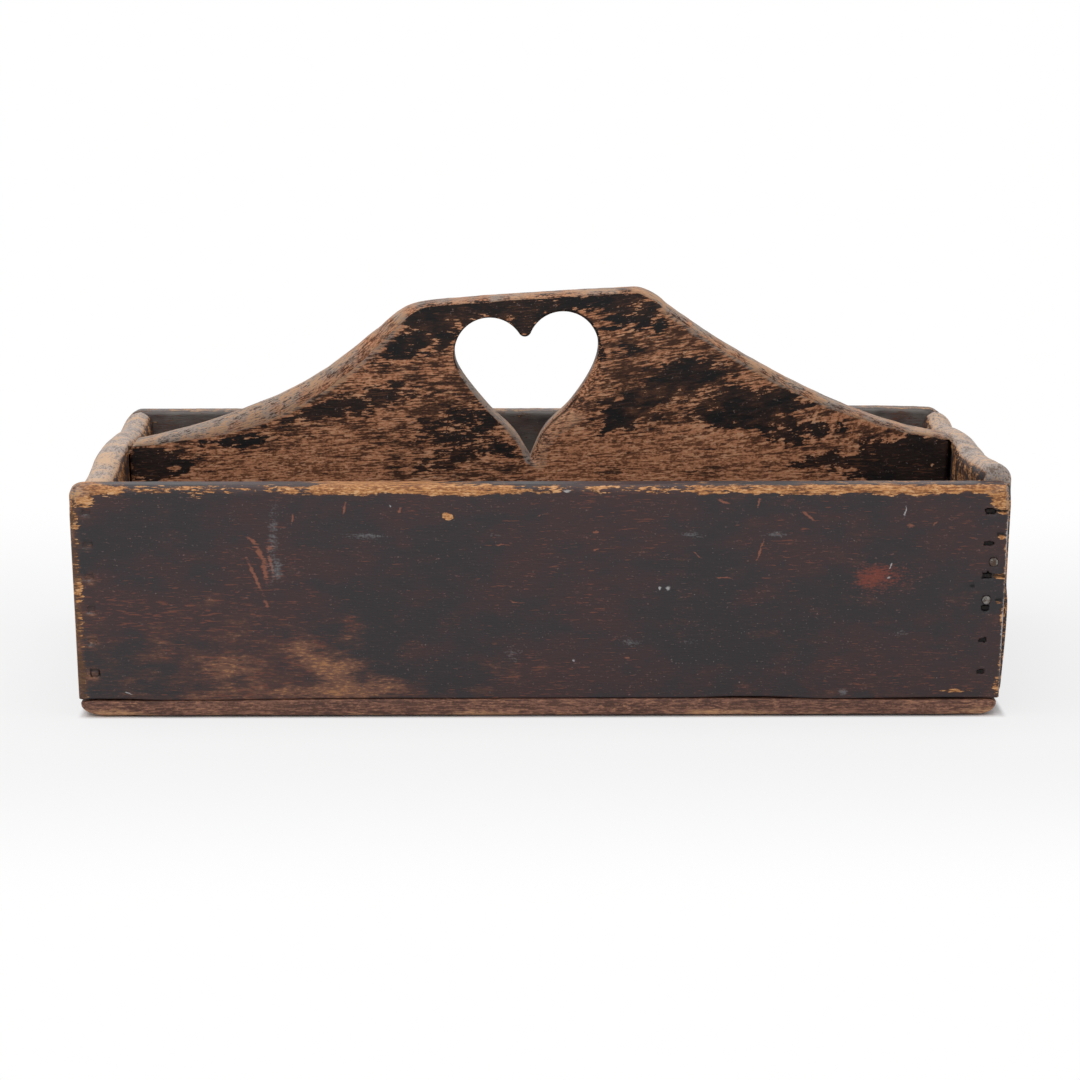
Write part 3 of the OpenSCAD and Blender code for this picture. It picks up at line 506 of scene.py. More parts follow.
def back_board():
    """The back: nail heads show in both corners, its inner face is dusty and its rim is thinly rubbed."""
    holes = [(corner_x(side, h), h, 1.9, 0.8, POCKET_DEPTH) for side in (LEFT, RIGHT) for h in CORNER_NAILS]
    points, flat, quads, pocket = long_side(BACK, 7, holes)
    x, _, z = points.T
    points[:, 2] += 1.2 * spots(x, z, [(150, RIM, 34, 30, 0, 1)])
    d, down = flat[:, 1], BOARD - flat[:, 2]
    rough = hills(x, z, 14, 31)
    inside = smooth(SIDE_THICK - 1.2, SIDE_THICK, d)
    blotch = hills(x, 2.2 * z, 24, 33) + 0.6 * hills(x, 1.5 * z, 9, 34)
    rim_band = (0.46 + 0.12 * rough) * near(2, 3.5, down) * (1 - 0.6 * inside)
    ends = (0.48 + 0.12 * rough) * near(1, 3.5, np.minimum(flat[:, 0] - SIDE_LEFT, SIDE_RIGHT - flat[:, 0]))
    return points, quads, {
        "bare": np.maximum.reduce([rim_band, ends, (0.28 + 0.08 * blotch) * inside]),
        "thin": 0.12 + 0.12 * rough + 0.15 * inside,
        "pale": np.maximum((0.75 + 0.3 * blotch) * inside, 0.6 * near(1, 4, down)) + 0.1 * rough,
        # Nail pockets get painted shade with some grime
        "shade_and_grime": np.clip(pocket / 1.3, 0, 0.9)}, points


piece("front_board", *front_board(), front_paint, "painted_board")
piece("back_board", *back_board(), back_paint, "painted_board")


# The ends
def end_board(side, rise_y, rise):
    """An end as a worn box that leans out: thickness from the inner face, place along y, and height up to a
    waved top, which has the given rise at the places rise_y. The inner face has the housing for the divider,
    the outer face pockets over the divider nails, and the right end bows out below its middle. Its grain runs
    from front to back."""
    def radii(s, y, h):
        rough = 0.5 * hills(y, h, 22, 41 + side)
        top = smooth(BOARD - 16, BOARD - 9, h)
        outer = smooth(0, END_THICK, s)
        by_divider = 0.15 + 0.85 * smooth(6, 22, np.abs(y))
        # Through the board, from front to back and up
        low = [0.4 + top * (5.6 + 0.4 * rough) * by_divider, 0.4 + 3.5 * top * (side == RIGHT),
               0.4 + 2.5 * outer * (side == RIGHT)]
        further = 0.8 * (side == RIGHT) * smooth(-80, -55, y) + 3 * smooth(40, 65, y)
        high = [0.8 + top * (5.9 + further + 0.4 * rough), 0.4 + 0 * h, 6.2 + rough + (0.6 + further) * outer]
        return low, high

    windows = [(z - FOOT - 1.3, z - FOOT + 1.3) for z in DIVIDER_NAILS]
    worn, flat, quads = box_skin((
        np.array([0, 0.4, 0.9, 1.5, 2.2, 3, 4, 5.2, 6.4, 7.6, 8.8, 10, 11, 11.8, 12.5, 13.1, 13.6,
                  END_THICK]),
        lines(-END_REACH, END_REACH, 1.7, [(-8, 8), (-END_REACH, -END_REACH + 5)], 0.5),
        lines(0, BOARD, 1.6, [(BOARD - 9, BOARD)] + windows, 0.5)), radii)
    s, y, h = worn.T
    down = BOARD - flat[:, 2]
    z = FOOT + h + np.interp(y, rise_y, rise) * smooth(35, BOARD, h)
    z += (2.8 if side == RIGHT else 0.5) * near(4, 26, y) * (1 - s / END_THICK) * smooth(35, BOARD, h)
    housing = (HOUSING + 0.1) * near(6.7, 0.3, y) * (flat[:, 0] <= HOUSING) * smooth(4, 9, down)
    bow = 1.25 * (side == RIGHT) * np.exp(-((z - 37) / 27) ** 2) * (1 - 0.75 * smooth(44, 54, z))
    on_nails = near(0.7, POCKET_RIM, np.abs(z[:, None] - DIVIDER_NAILS).min(1))
    pocket = POCKET_DEPTH * on_nails * near(POCKET_HALF, POCKET_RIM, y) * (flat[:, 0] == END_THICK)
    x = side * (end_outer(side, z) - END_THICK + np.maximum(s, housing * (1 + 0.02 * s)) + bow - pocket)
    points = np.stack([x, y, z], 1)
    rough = hills(y, z, 15, 51 + side)
    crest = near(5.5, 4.5, down + 0.8 * rough)
    dark_corner = 0.35 * (side == RIGHT) * near(1, 7, y + END_REACH) * crest * (1 + 0.6 * rough)
    within = near(0.2, 0.8, s) * near(8, 24, down)
    inner_side = near(0.8, 2.2, flat[:, 0]) * smooth(-1.5, 2.5, down)
    ends = (0.45 + 0.12 * rough) * near(0.5, 2.5, END_REACH - np.abs(y))
    grain = points[:, [1, 0, 2]] * (2, 0.8, 0.8)
    return points, quads if side == RIGHT else quads[:, ::-1], {
        "bare": np.maximum.reduce([0.95 * crest - 0.53 * inner_side, (0.46 + 0.15 * rough) * within, ends]),
        "thin": 0.12 + 0.12 * rough,
        "pale": np.maximum(0.85 * crest - 0.6 * inner_side, 0.25 * within),
        # The housing gets painted shade, and the nail pockets painted shade with some grime
        "shade_and_grime": np.clip(pocket / 1.3 + 0.8 * (housing > 1) + dark_corner, 0, 0.9)}, grain


piece("left_end_board", *end_board(
    LEFT, [-86, -59, -48, -42, -33, -26, -19, -9, 4, 13, 32, 50, 63, 75, 86],
    [-4.2, -3.5, -3.2, -3.0, -2.2, -1.4, -0.4, 0.3, 0.4, 0.1, -1.1, -2.3, -2.3, -1.0, 0.2]),
    end_paint, "painted_board")
piece("right_end_board", *end_board(
    RIGHT, [-86, -77, -60, -42, -24, -5, 10, 26, 47, 62, 76, 86],
    [6.0, 5.7, 4.1, 2.3, 1.2, 0.8, 1.2, 0.9, -0.9, -2.4, -1.4, 0.2]),
    end_paint, "painted_board")


# The handle divider
def wood_end(side, z):
    """Distance of an end's inner face from the middle of the tray at height z."""
    return end_outer(side, z) - END_THICK


# The point of the heart, measured from between its two lobes before it is turned and placed
HEART_TIP = np.array([-2.4, -47.5])


def divider_outline():
    """Outline of the divider from its lower left corner, anticlockwise, and which of its points are on the
    top. The top is a right wing, shoulder, handle, shoulder and left wing. Each wing is one cubic curve, each
    shoulder a corner rounded by a cubic, and the feet go a little way into the housings."""
    clearance, rounding, reach = 0.2, 8, 45
    housed = HOUSING - clearance
    left_z, right_z = RIM + 1.3, RIM + 3.9
    left_foot = np.array([-wood_end(LEFT, left_z), left_z])
    right_foot = np.array([wood_end(RIGHT, right_z), right_z])
    left_corner, right_corner = np.array([-55.8, RIM + 61.2]), np.array([47.2, RIM + 68.4])
    along = unit(right_corner - left_corner)
    left_slope, right_slope = np.array([1, 0.2]), np.array([-1, 0.12])
    up_left, up_right = unit(np.array([1, 0.85])), unit(np.array([-1, 0.8]))
    left_end, right_end = left_corner - rounding * up_left, right_corner - rounding * up_right
    right_top, left_top = right_corner - rounding * along, left_corner + rounding * along

    def corner(before, tip, after):
        return bezier(before, before + (tip - before) * 2 / 3, after + (tip - after) * 2 / 3, after, 60)

    # Each stretch has more points than the skin takes from it
    top = [
        np.linspace(right_foot + (housed, 0), right_foot, 8),
        bezier(right_foot, right_foot + reach * right_slope, right_end - reach * up_right, right_end, 400),
        corner(right_end, right_corner, right_top), np.linspace(right_top, left_top, 300),
        corner(left_top, left_corner, left_end),
        bezier(left_end, left_end - reach * up_left, left_foot + reach * left_slope, left_foot, 400),
        np.linspace(left_foot, left_foot - (housed, 0), 8)]
    low_left, low_right = (-wood_end(LEFT, FOOT) - housed, FOOT), (wood_end(RIGHT, FOOT) + housed, FOOT)
    parts = [np.linspace(low_left, low_right, 700), np.linspace(low_right, top[0][0], 200),
             np.concatenate(top), np.linspace(top[-1][-1], low_left, 200)]
    line = np.concatenate([part[:-1] for part in parts])
    on_top = np.concatenate([np.full(len(part) - 1, float(i == 2)) for i, part in enumerate(parts)])
    fresh = np.append(True, np.linalg.norm(np.diff(line, axis=0), axis=1) > 1e-6)
    return line[fresh], on_top[fresh]


def heart_outline():
    """Outline of the heart from its point, anticlockwise, and the same before it is turned and placed: two
    flanks that are cubic curves, two lobes that are arcs, and a round tongue of wood between the lobes."""
    lobe, offset, tongue_round, place, turn = 15.2, 15.9, 2.8, (-6.1, RIM + 42.1), math.radians(4.9)
    tip, steep, right_pull, left_pull = HEART_TIP, 14 * np.array([0.46, 0.89]), 16, 10
    lobe_start = -10
    flank = math.radians(lobe_start)

    def arc(centre, r, start, stop, count):
        a = np.radians(np.linspace(start, stop, count))
        return np.array(centre) + r * np.stack([np.cos(a), np.sin(a)], 1)

    tongue = np.array([0, math.sqrt((lobe + tongue_round) ** 2 - offset ** 2)])
    touch = 180 - math.degrees(math.atan(tongue[1] / offset))
    side = np.array([offset + lobe * math.cos(flank), lobe * math.sin(flank)])
    drop, mirror = np.array([math.sin(flank), -math.cos(flank)]), np.array([-1, 1])
    line = np.concatenate([part[:-1] for part in (
        bezier(tip, tip + steep, side + right_pull * drop, side, 200),
        arc((offset, 0), lobe, lobe_start, touch, 200), arc(tongue, tongue_round, touch - 180, -touch, 60),
        arc((-offset, 0), lobe, 180 - touch, 180 - lobe_start, 200),
        bezier(side * mirror, (side + left_pull * drop) * mirror, tip + steep * mirror, tip, 200))])
    spin = np.array([[math.cos(turn), math.sin(turn)], [-math.sin(turn), math.cos(turn)]])
    return line @ spin + place, line


# Parts of the divider's section, in the order in which it goes round
EDGE, FACE, BEVEL, WALL, REVERSE = range(5)


def divider_skin():
    """The divider as one closed skin, a ring in both directions: round its outline and, at each place, a
    section that goes over the worn outer edge, across the front to the heart, through the heart and back
    across the back face. Outline and heart are matched by their angle about a point in the heart. Returns the
    points, the quads, the part of the section, and per point: the way from the outer edge (or round the
    heart's bevel), the height of its edge, how far down the heart's flank, and left of its point."""
    outer, on_top = divider_outline()
    heart, heart_local = heart_outline()
    middle, count, half = np.array([-6.8, 104.0]), 540, DIVIDER_THICK / 2
    # Wear of the back's edges as a share of the front's, the heart's rounding there, and where housings begin
    back_wear, heart_back, in_housing = 0.7, 1.5, 172

    def turned(line):
        return np.unwrap(np.arctan2(line[:, 1] - middle[1], line[:, 0] - middle[0]))

    def sampled(angle, line_angle, *values):
        return np.stack([np.interp(angle, line_angle, v, period=2 * np.pi) for v in values], 1)

    def left_of(line):
        step = unit(np.roll(line, -1, 0) - np.roll(line, 1, 0))
        return np.stack([-step[:, 1], step[:, 0]], 1)

    def moved(line, ways, distance):
        return line + ways * np.broadcast_to(distance, count)[:, None]

    # Places round the ring, spaced by the lengths of the outline and of the heart together
    probe = np.linspace(-np.pi, np.pi, 4001)
    walk = np.zeros(len(probe))
    for line, share in ((outer, 0.55), (heart, 0.45)):
        steps = np.linalg.norm(np.diff(sampled(probe, turned(line), *line.T), axis=0), axis=1)
        walk += share * np.append(0, steps).cumsum() / steps.sum()
    angle = np.interp(np.arange(count) / count, walk, probe)
    edge, on_top = np.split(sampled(angle, turned(outer), *outer.T, on_top), [2], 1)
    hole, local = np.split(sampled(angle, turned(heart), *heart.T, *heart_local.T), [2], 1)
    on_top = on_top[:, 0] > 0.5
    inward, outward = left_of(edge), -left_of(hole)
    # Inside the housings the outline turns square, so the ends of its faces go straight in
    upright, housed = ~on_top & (edge[:, 1] > FOOT + 0.5), on_top & (np.abs(edge[:, 0]) > in_housing)
    inward[upright] = np.column_stack([-np.sign(edge[upright, 0]), 0 * edge[upright, 0]])
    inward[housed] = 0, -1
    # Worn edges: broad on the left wing, narrower on the right, slight along the handle, deep on the heart
    wear_x = [-181, -165, -150, -138, -125, -100, -80, -62, -50, 45, 60, 90, 115, 130, 145, 181]
    uneven = hills(*edge.T, 16, 61)
    edge_high = 0.4 + on_top * (0.25 * uneven + np.interp(
        edge[:, 0], wear_x, [1.2, 2.6, 4.4, 6.2, 7.4, 6.8, 5.8, 3.8, 1.3, 1.2, 1.6, 2.2, 2.4, 2.0, 1.3, 0.8]))
    edge_wide = 0.4 + on_top * (0.2 * uneven + np.interp(
        edge[:, 0], wear_x, [1.4, 2.2, 3.2, 4.0, 4.4, 4.4, 4.2, 3.2, 1.9, 1.8, 2.0, 2.2, 2.2, 2.0, 1.3, 0.8]))
    # How far the top's outline is worn in, or stands proud where it is less than 0
    every_mm = np.arange(-200, 200)
    worn_in = np.interp(
        every_mm,
        [-181, -125, -111, -99, -88, -77, -68, -60, -52, -43, -20, 0, 17, 30, 43, 50, 56, 64, 72, 80, 94,
         110, 129, 145, 181],
        [0, 0.2, 0.7, 0.6, 0.1, -0.8, -1.2, -1.1, -0.5, -0.8, -1.0, -0.9, -0.7, -0.4, -0.2, 1.0, 1.1, 0.8,
         0.4, 0.1, -0.5, -0.8, -0.8, -0.4, 0])
    worn_in = np.interp(edge[:, 0], every_mm, np.convolve(worn_in, np.hanning(13) / 6, "same"))
    edge = moved(edge, inward, on_top * (worn_in + 0.12 * hills(*edge.T, 9, 62)))
    flank = np.clip(local[:, 1] / HEART_TIP[1], 0, 1)
    left_flank = local[:, 0] < HEART_TIP[0]
    hole = moved(hole, -outward, np.sin(np.pi * smooth(0.5, 1, flank)) * np.where(left_flank, 1.2, 1.7))
    wear = np.sin(np.pi * np.clip(flank, 0, 0.8)) * np.where(left_flank, 0.4, 8.0)
    wear += 1.6 * smooth(0.85, 1, flank)
    hole_high, hole_wide = np.where(left_flank, 0.6, 1.0) + wear, 1.0 + 0.4 * wear
    face_out, back_out = moved(edge, inward, edge_high), moved(edge, inward, back_wear * edge_high)
    for side in (LEFT, RIGHT):
        beside, foot = (group & (side * edge[:, 0] > 0) for group in (upright, housed))
        for out in (face_out, back_out):
            squeeze = (out[foot, 1].min() - FOOT) / (edge[foot, 1].max() - FOOT)
            out[beside, 1] = FOOT + (edge[beside, 1] - FOOT) * squeeze
    face_in, back_in = moved(hole, outward, hole_high), moved(hole, outward, heart_back)

    rings = []

    def ring(kind, xz, y, way=0.0):
        y, way = np.broadcast_to(y, count), np.broadcast_to(way, count)
        rings.append((kind, np.column_stack([xz[:, 0], y, xz[:, 1]]), way))

    quarter = np.linspace(0, np.pi / 2, 8)
    for a in quarter[::-1]:
        ring(EDGE, moved(edge, inward, edge_high * (1 - np.sin(a))), edge_wide * (1 - np.cos(a)) - half)
    for t in np.linspace(0, 1, 98)[1:-1] ** 1.4:
        ring(FACE, face_out + (face_in - face_out) * t, -half, t * np.linalg.norm(face_in - face_out, axis=1))
    for a in quarter:
        ring(BEVEL, moved(hole, outward, hole_high * (1 - np.sin(a))), hole_wide * (1 - np.cos(a)) - half, a)
    for t in (0.3, 0.6):
        ring(WALL, hole, (hole_wide - half) * (1 - t) + (half - heart_back) * t)
    for a in quarter[::-2]:
        ring(WALL, moved(hole, outward, heart_back * (1 - np.sin(a))), half - heart_back * (1 - np.cos(a)))
    for t in np.linspace(1, 0, 44)[1:-1]:
        ring(REVERSE, back_out + (back_in - back_out) * t, half)
    for a in quarter[::2]:
        rounded = back_wear * edge_high * (1 - np.sin(a))
        ring(EDGE, moved(edge, inward, rounded), half - edge_wide * (1 - np.cos(a)))
    ids = np.arange(len(rings) * count).reshape(-1, count)
    following = np.roll(ids, -1, 0)
    quads = np.stack([ids, np.roll(ids, -1, 1), np.roll(following, -1, 1), following], -1).reshape(-1, 4)
    kinds, points, ways = zip(*rings)
    per_place = np.tile([edge[:, 1], flank, left_flank], len(rings))
    return np.concatenate(points), quads, np.repeat(kinds, count), np.concatenate(ways), *per_place


def handle_divider():
    """The divider with black paint left in islands, brown wood in streaks, polished edges, and a gap, painted
    dark with shade, where its front stops short of each end. Its grain climbs to the right, and follows the
    wings along their edges."""
    points, quads, kind, way, edge_z, flank, left_flank = divider_skin()
    on_edge, on_face, on_bevel, on_wall = (kind == part for part in (EDGE, FACE, BEVEL, WALL))
    x, y, z = points.T
    gap, gap_depth, tip_drop = np.where(x < 0, 0.4, 1.1), 2.4, 5
    past_stop = np.abs(x) + gap - np.where(x < 0, wood_end(LEFT, z), wood_end(RIGHT, z))
    recess = smooth(-0.1, 0.15, past_stop) * on_face
    points[:, 1] = np.where(y < 0, np.maximum(y, gap_depth * recess - DIVIDER_THICK / 2), y)
    points[:, 2] -= tip_drop * smooth(0, 0.5, past_stop) * on_edge * smooth(RIM - 20, RIM - 10, z)
    rough = hills(x, z, 12, 71)
    # Spots of black paint left on the front, none of it where the wood was planed clean
    islands = np.array([
        (-8.9, 158.7, 58, 6, 4, 0.9), (-45.4, 149.2, 18, 10, 10, 0.85), (-60, 137, 18, 7, 12, 0.6),
        (-6.8, 149.2, 9, 6, 0, 0.9), (42.7, 153.5, 15, 9, 8, 0.8), (-77, 116, 29, 6, 12, 0.85),
        (-32, 102, 25, 14, 10, 0.7), (-131, 98, 23, 3, 9.6, 0.82), (-101, 110, 14, 3, 15, 0.5),
        (-168, 88.5, 14.5, 7.5, 0, 1.3), (37.8, 111.3, 12, 9, 20, 1.15), (62.3, 126.1, 20, 9, 14, 1.1),
        (86.3, 113, 23, 9, 12, 1.1), (112.4, 102.4, 20, 5.4, 8, 0.8), (121.4, 89.2, 11, 3.2, 5, 0.9),
        (163, 89.5, 30, 11.5, 5, 1.4), (107.9, 114.3, 27, 5.4, 28, 0.5), (38.5, 138.3, 13, 3.5, 6, 0.5),
        (21.4, 96.8, 9, 3.5, 20, 0.5), (-13.3, 92.4, 9, 6, 0, 0.3), (-46, 88, 12, 3, 4, 0.5)])
    planed_below = np.interp(x, [10, 12.8, 30.4, 95, 99, 105], [80, 96.2, 102.1, 104.4, 96, 80])
    kept = smooth(-2, 1.5, z - planed_below)
    tilt = 0.05 + 0.1 * smooth(85, 125, z) * smooth(-30, 30, x)
    leaning = z - tilt * x
    torn_x, torn_z = x + 6.5 * hills(x, 3 * leaning, 13, 75), z + 1.2 * hills(x, 2 * leaning, 8, 76)
    front_paint_left, round_about = (kept * spots(torn_x, torn_z, islands * (1, 1, wide, high, 1, 1))
                                     for wide, high in ((1, 1), (1.4, 1.7)))
    back_paint_left = 0.15 + 0.45 * smooth(85, 140, z)
    back_paint_left += 0.4 * hills(x, 2.4 * z, 48, 72) + 0.2 * hills(x, 2 * z, 15, 74)
    paint_left = np.where(y < 3, front_paint_left, np.clip(back_paint_left, 0, 1))
    lobe = near(0.08, 0.12, flank)
    # Darker patches: the three low ones, just above the front board's rim, are painted shade there; the
    # others darken the wood
    dirt_and_shade = spots(x, z, [
        (-48, 104, 42, 29, 0, 1), (60, 138, 42, 14, 12, 0.6), (-95, 112, 24, 8, 20, 0.4),
        (66, 117, 46, 15, 5, 0.8), (29.7, 85.5, 10, 3.2, 0, 1), (72, 85, 12, 3.4, 0, 1),
        (100, 87, 7, 3, 0, 0.7)])
    dirt_and_shade *= 1 - 0.7 * np.clip(front_paint_left, 0, 1)
    thin = 0.12 + 0.5 * np.clip(round_about - front_paint_left + dirt_and_shade, 0, 1) + 0.1 * rough
    wing = smooth(45, 60, np.abs(x + 5)) * on_face * (y < 0)
    arris = near(0.4, np.where(x < 0, 5.5, 3.5) + rough, way) * wing
    mottled, edge_down = hills(x, z, 7, 73), np.clip((edge_z - z) / 6, 0, 1)
    on_handle = near(42, 12, x + 4) * on_edge
    edge_bare = 0.84 + 0.1 * rough - 0.16 * np.clip(mottled, 0, 1) * edge_down
    bare = np.select([on_edge, on_bevel, on_wall], [edge_bare, 0.84 - 0.5 * lobe, 0.7 - 0.45 * lobe],
                     0.78 - 0.62 * np.clip(paint_left, 0, 1.25) + 0.05 * rough + 0.3 * arris)
    bare -= 0.24 * on_handle
    edge_pale = np.interp(x, [-110, -75, -50, 0], [0.8, 0.55, 0.55, 0.65])
    edge_pale += 0.15 * rough + 0.1 * mottled - 0.08 * on_handle - 0.3 * edge_down
    bevel_pale = np.where(left_flank > 0.5, 0.7 * (1 - lobe), 0.42 * smooth(0.35, 0.6, flank))
    pale = np.select([on_edge, on_bevel, on_wall], [edge_pale, bevel_pale, 0.7 * (1 - lobe)], 0.6 * arris)
    crack = 0.8 * near(0.05, 0.1, way - 1.12) * on_bevel * (left_flank < 0.5) * near(0.16, 0.12, flank - 0.66)
    across = np.where(on_edge, z - edge_z, leaning)
    fine = np.where(on_edge, 1.7, 1.0)
    return points, quads, {
        "bare": bare, "pale": pale, "thin": thin,
        "smear": 0.8 * on_bevel * (left_flank > 0.5) * (1 - lobe),
        # The gap at each end is painted near black as shade; a crack down the right flank's bevel is drawn
        # dark too
        "shade_and_grime": 0.95 * recess * (y < 0) + crack}, np.stack([x, y, across], 1) * fine[:, None]


piece("handle_divider", *handle_divider(), handle_wood, "worn_board")


# The bottom board
def bottom_board():
    """The bottom as a worn box: rubbed round along its underside, most at its two front corners, with pockets
    over the nails that hold it to the sides, the ends and the divider. Its front edge sags with the front
    board."""
    row_ends = FOOT_LEFT + LONG_ROW_INSET, FOOT_RIGHT - LONG_ROW_INSET
    long_row, middle_row = np.linspace(*row_ends, 6), np.linspace(*row_ends, 4)
    reach, side_middle = HALF_DEPTH - NAIL_SET - LONG_NAIL - END_ROW_GAP, HALF_DEPTH - SIDE_THICK / 2
    end_row = np.linspace(-reach, reach, 4)
    end_x = [side * (end_outer(side, FOOT) - END_THICK / 2) for side in (LEFT, RIGHT)]
    heads = [(x, y) for x in long_row for y in (-side_middle, side_middle)]
    heads += [(x, 0) for x in middle_row] + [(x, y) for x in end_x for y in end_row]
    near_x = [(v - 2.2, v + 2.2) for v in (*long_row, *middle_row, *end_x)]
    near_y = [(v - 1.2, v + 1.2) for v in (-side_middle, 0, side_middle, *end_row)]

    def radii(x, y, z):
        rough = 0.5 * hills(x, y, 20, 81)
        corner = spots(x, y, [
            (FOOT_LEFT, -HALF_DEPTH, 24, 14, 0, 1), (FOOT_RIGHT, -HALF_DEPTH, 14, 14, 0, 1)])
        # Along the tray, from front to back and up
        low = [2.2 + 0.5 * rough + 7 * corner, 1.2 + 0.4 * rough, 1.1 + 0.4 * rough + 4 * corner]
        high = [2.0 + 0.5 * rough + 5 * corner, 1.2 + 0.4 * rough, 0.6 + 0.2 * rough]
        return low, high

    worn, flat, quads = box_skin((
        lines(FOOT_LEFT, FOOT_RIGHT, 2.6,
              [(FOOT_LEFT, FOOT_LEFT + 4), (FOOT_RIGHT - 4, FOOT_RIGHT)] + near_x, 0.5),
        lines(-HALF_DEPTH, HALF_DEPTH, 2.6,
              [(-HALF_DEPTH, 3 - HALF_DEPTH), (HALF_DEPTH - 3, HALF_DEPTH)] + near_y, 0.5),
        np.array([0, 0.3, 0.7, 1.2, 1.8, 2.5, 3.4, 4.4, 5.3, 6, 6.6, FOOT])), radii)
    x, y, z = worn.T
    pocket = np.zeros(len(x))
    for head_x, head_y in heads:
        inside = near(POCKET_HALF, POCKET_RIM, x - head_x) * near(0.65, POCKET_RIM, y - head_y)
        pocket = np.maximum(pocket, POCKET_DEPTH * inside * (flat[:, 2] == 0))
    drawn_in = 0.7 * near(0, 30, x - FOOT_LEFT) - near(0, 30, x - FOOT_RIGHT)
    points = np.stack([x + drawn_in, y, z + pocket - foot_drop(x) * z / FOOT * (1 - smooth(-85, -55, y))], 1)
    rough = hills(x, y, 18, 91)
    from_end = np.minimum(flat[:, 0] - FOOT_LEFT, FOOT_RIGHT - flat[:, 0])
    rubbed = near(0.5, 3.5, np.minimum(HALF_DEPTH - np.abs(flat[:, 1]), from_end)) * near(0.5, 3, z)
    corner = spots(x, y, [(-187, -96, 22, 8, 0, 1), (184, -96, 12, 8, 0, 1), (78, -96, 17, 8, 0, 0.8),
                          (-29, -96, 10, 8, 0, 0.5), (112, -96, 8, 8, 0, 0.4)]) * near(2, 4, z)
    return points, quads, {
        "bare": 0.66 + 0.2 * rubbed + 0.2 * corner + 0.06 * rough,
        "thin": 0.3 + 0.15 * rough,
        "pale": 0.35 * rubbed + 0.5 * corner,
        # Nail pockets get painted shade with some grime
        "shade_and_grime": np.clip(pocket / 1.3, 0, 0.9)}, points


piece("bottom_board", *bottom_board(), bottom_wood, "bottom_wood")


# Nails keep the shape of the solids
def nail_metal(name, dark, light, rust, metallic, roughness):
    """Iron left to rust in wood: dark scale with rust in patches of a millimetre or two, pitted by bump."""
    material, tree, shader = new_material(name)
    mm = millimetres(tree)
    pits = add(tree, "TexNoise", {"Vector": mm, "Scale": 1.6, "Detail": 4.0, "Roughness": 0.65})
    patches = add(tree, "TexNoise", {"Vector": mm, "Scale": 0.7, "Detail": 3.0})
    masks = (add(tree, "MapRange", (pits, 0.35, 0.65)), add(tree, "MapRange", (patches, 0.48, 0.6)))
    colour = linear(dark)
    for mask, code in zip(masks, (light, rust)):
        colour = add(tree, "Mix", {0: mask, 6: colour, 7: linear(code)}, 2, data_type="RGBA")
    tree.links.new(colour, shader.inputs["Base Color"])
    rough = add(tree, "MapRange", (pits, 0.3, 0.7, roughness - 0.1, roughness + 0.15))
    tree.links.new(rough, shader.inputs["Roughness"])
    bump = add(tree, "Bump", {"Height": pits, "Strength": 0.5, "Distance": 0.0004})
    tree.links.new(bump, shader.inputs["Normal"])
    shader.inputs["Metallic"].default_value = metallic
    return material


cut_iron = nail_metal("cut_nail_iron_rusted", "#080606", "#120e0c", "#1a100c", 0.2, 0.85)
wire_steel = nail_metal("wire_nail_steel_dulled", "#4d4a48", "#8f8a85", "#4a3a30", 0.6, 0.5)
for name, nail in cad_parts.items():
    if name.endswith("nails"):
        nail.data.materials.clear()
        nail.data.materials.append(wire_steel if "repair" in name else cut_iron)


# The studio
def studio_floor():
    """A large white floor. Seen by the camera it is lifted to a white backdrop with one soft band of painted
    shade where the tray stands, and it keeps the tray's shadow. Right under the tray it isn't lifted, so that
    the contact line is dark. It lies a small gap below the bottom board, which has cupped with age."""
    gap = 0.8 * MM
    material, tree, shader = new_material("studio_floor_matt_white")
    shader.inputs["Base Color"].default_value = linear("#f2f2f2")
    shader.inputs["Roughness"].default_value = 0.9
    shader.inputs["Specular IOR Level"].default_value = 0.1
    place = add(tree, "TexCoord", out=3)
    y = add(tree, "SeparateXYZ", (place,), 1)
    from_middle = add(tree, "VectorMath", (place,), operation="ABSOLUTE")
    # The band of painted shade comes up in front of the tray and fades behind it, in metres
    front = add(tree, "MapRange", (y, -0.34, -0.15), interpolation_type="SMOOTHSTEP")
    behind = add(tree, "MapRange", (y, 0.03, 0.36, 1, 0), interpolation_type="SMOOTHSTEP")
    band = add(tree, "Math", (front, behind), operation="MULTIPLY")
    # Painted shade: the white is dimmed inside the band
    white = add(tree, "Emission", {"Strength": add(tree, "MapRange", (band, 0, 1, 1.0, 0.905))})
    # The dark patch ends in a narrow soft rim, along the tray and across it
    rims = (0.1895, 0.1915), (0.0968, 0.0982)
    within = [add(tree, "MapRange", (add(tree, "SeparateXYZ", (from_middle,), axis), *rim, 1, 0))
              for axis, rim in enumerate(rims)]
    under = add(tree, "Math", within, operation="MULTIPLY")
    lift = add(tree, "Math", (add(tree, "MapRange", (band, 0, 1, 1.0, 0.82)),
                              add(tree, "MapRange", (under, 0, 1, 1, 0))), operation="MULTIPLY")
    seen = add(tree, "Math", (add(tree, "LightPath", out=0), lift), operation="MULTIPLY")
    lifted = add(tree, "MixShader", (seen, shader.outputs[0], white))
    tree.links.new(lifted, tree.nodes["Material Output"].inputs["Surface"])
    mesh = bpy.data.meshes.new("studio_floor")
    mesh.from_pydata([(-4, -3, -gap), (4, -3, -gap), (4, 9, -gap), (-4, 9, -gap)], [], [(0, 1, 2, 3)])
    mesh.materials.append(material)
    floor = bpy.data.objects.new("studio_floor", mesh)
    scene.collection.objects.link(floor)


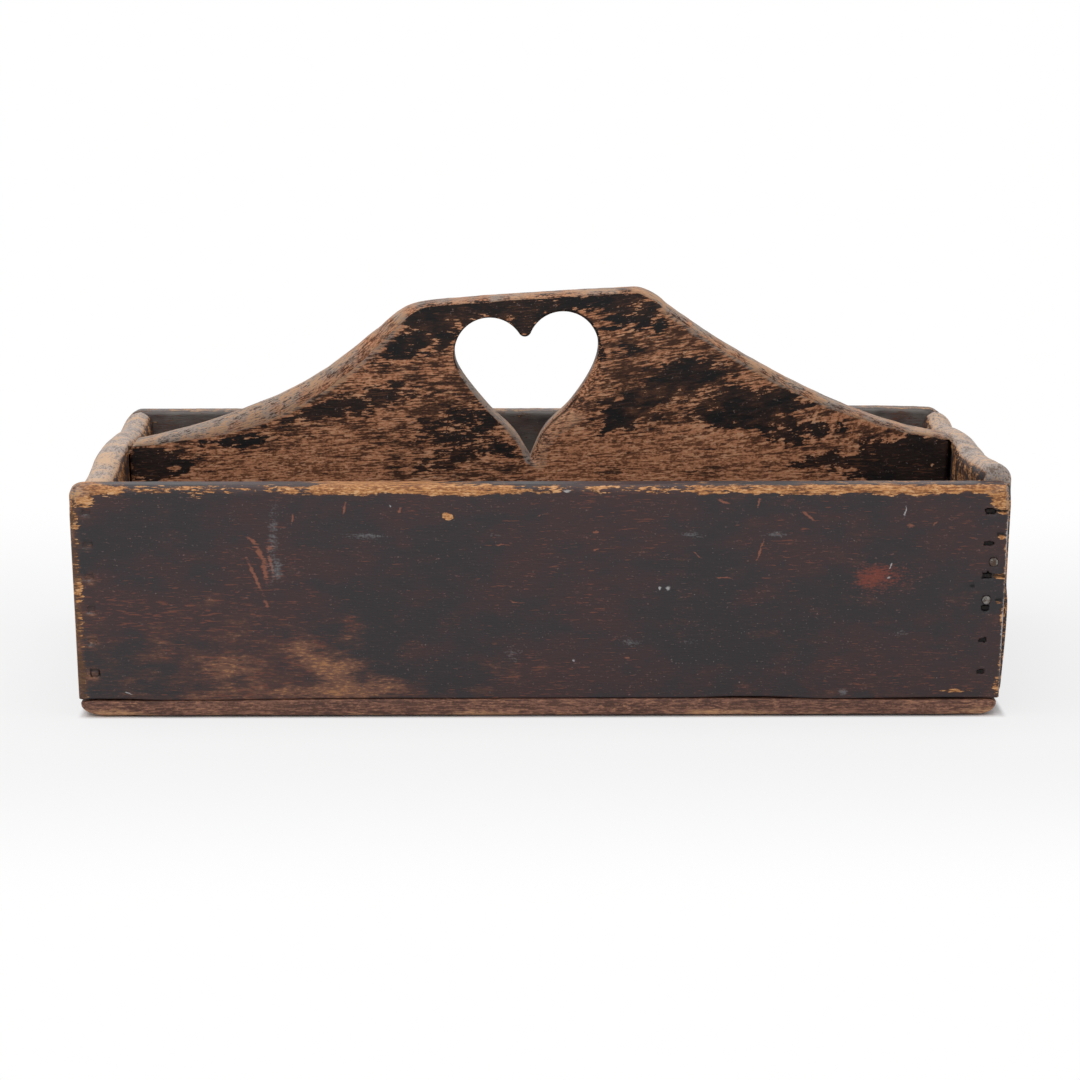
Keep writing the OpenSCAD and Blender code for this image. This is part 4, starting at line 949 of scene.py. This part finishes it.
def white_room():
    """A white world: the camera and reflections see it at strength 1, and it lights the boards plainly."""
    world = bpy.data.worlds.new("white_room")
    scene.world = world
    world.use_nodes = True
    tree = world.node_tree
    seen = 0.0
    for ray in ("Is Camera Ray", "Is Glossy Ray", "Is Transmission Ray"):
        seen = add(tree, "Math", (add(tree, "LightPath", out=ray), seen), operation="MAXIMUM")
    strength = add(tree, "MapRange", (seen, 0, 1, 0.55, 1.0))
    tree.links.new(strength, tree.nodes["Background"].inputs["Strength"])
    tree.nodes["Background"].inputs["Color"].default_value = (1, 1, 1, 1)


def aim(holder, place, side, up, back):
    """Put a lamp or camera at place, with its own axes along side, up and back."""
    rows = zip(np.stack([side, up, back], 1), place)
    holder.matrix_world = Matrix([(*row, p) for row, p in rows] + [(0, 0, 0, 1)])
    scene.collection.objects.link(holder)


def soft_box(name, place, target, width, height, watts):
    """A large soft lamp at place, turned to face target."""
    lamp = bpy.data.lights.new(name, "AREA")
    lamp.shape, lamp.size, lamp.size_y, lamp.energy = "RECTANGLE", width, height, watts
    back = unit(np.subtract(place, target))
    side = unit(np.cross((0, 1, 0) if abs(back[2]) > 0.9 else (0, 0, 1), back))
    aim(bpy.data.objects.new(name, lamp), place, side, np.cross(back, side), back)


def photo_camera(place, pitch, yaw, roll, lens):
    """The camera at a place in millimetres, turned down by pitch, right by yaw and tipped by roll, in
    radians."""
    ahead = np.array([math.sin(yaw) * math.cos(pitch), math.cos(yaw) * math.cos(pitch), -math.sin(pitch)])
    level = np.array([math.cos(yaw), -math.sin(yaw), 0.0])
    above = np.cross(level, ahead)
    across = math.cos(roll) * level + math.sin(roll) * above
    upward = math.cos(roll) * above - math.sin(roll) * level
    data = bpy.data.cameras.new("photo_camera")
    data.sensor_width, data.lens, data.clip_end = 36.0, lens, 30.0
    scene.camera = bpy.data.objects.new("photo_camera", data)
    aim(scene.camera, np.array(place) * MM, across, upward, -ahead)


studio_floor()
white_room()
soft_box("top_soft_box", (-0.2, -0.1, 1.5), (0, 0, 0.05), 1.6, 1.2, 14)
soft_box("front_soft_box", (-0.5, -1.9, 1.3), (0, 0, 0.08), 1.4, 1.0, 10)
photo_camera((-14.91, -1329.75, 333.03), pitch=0.207288, yaw=0.0111046, roll=0.000963, lens=103.33)
scene.view_settings.view_transform = "Standard"
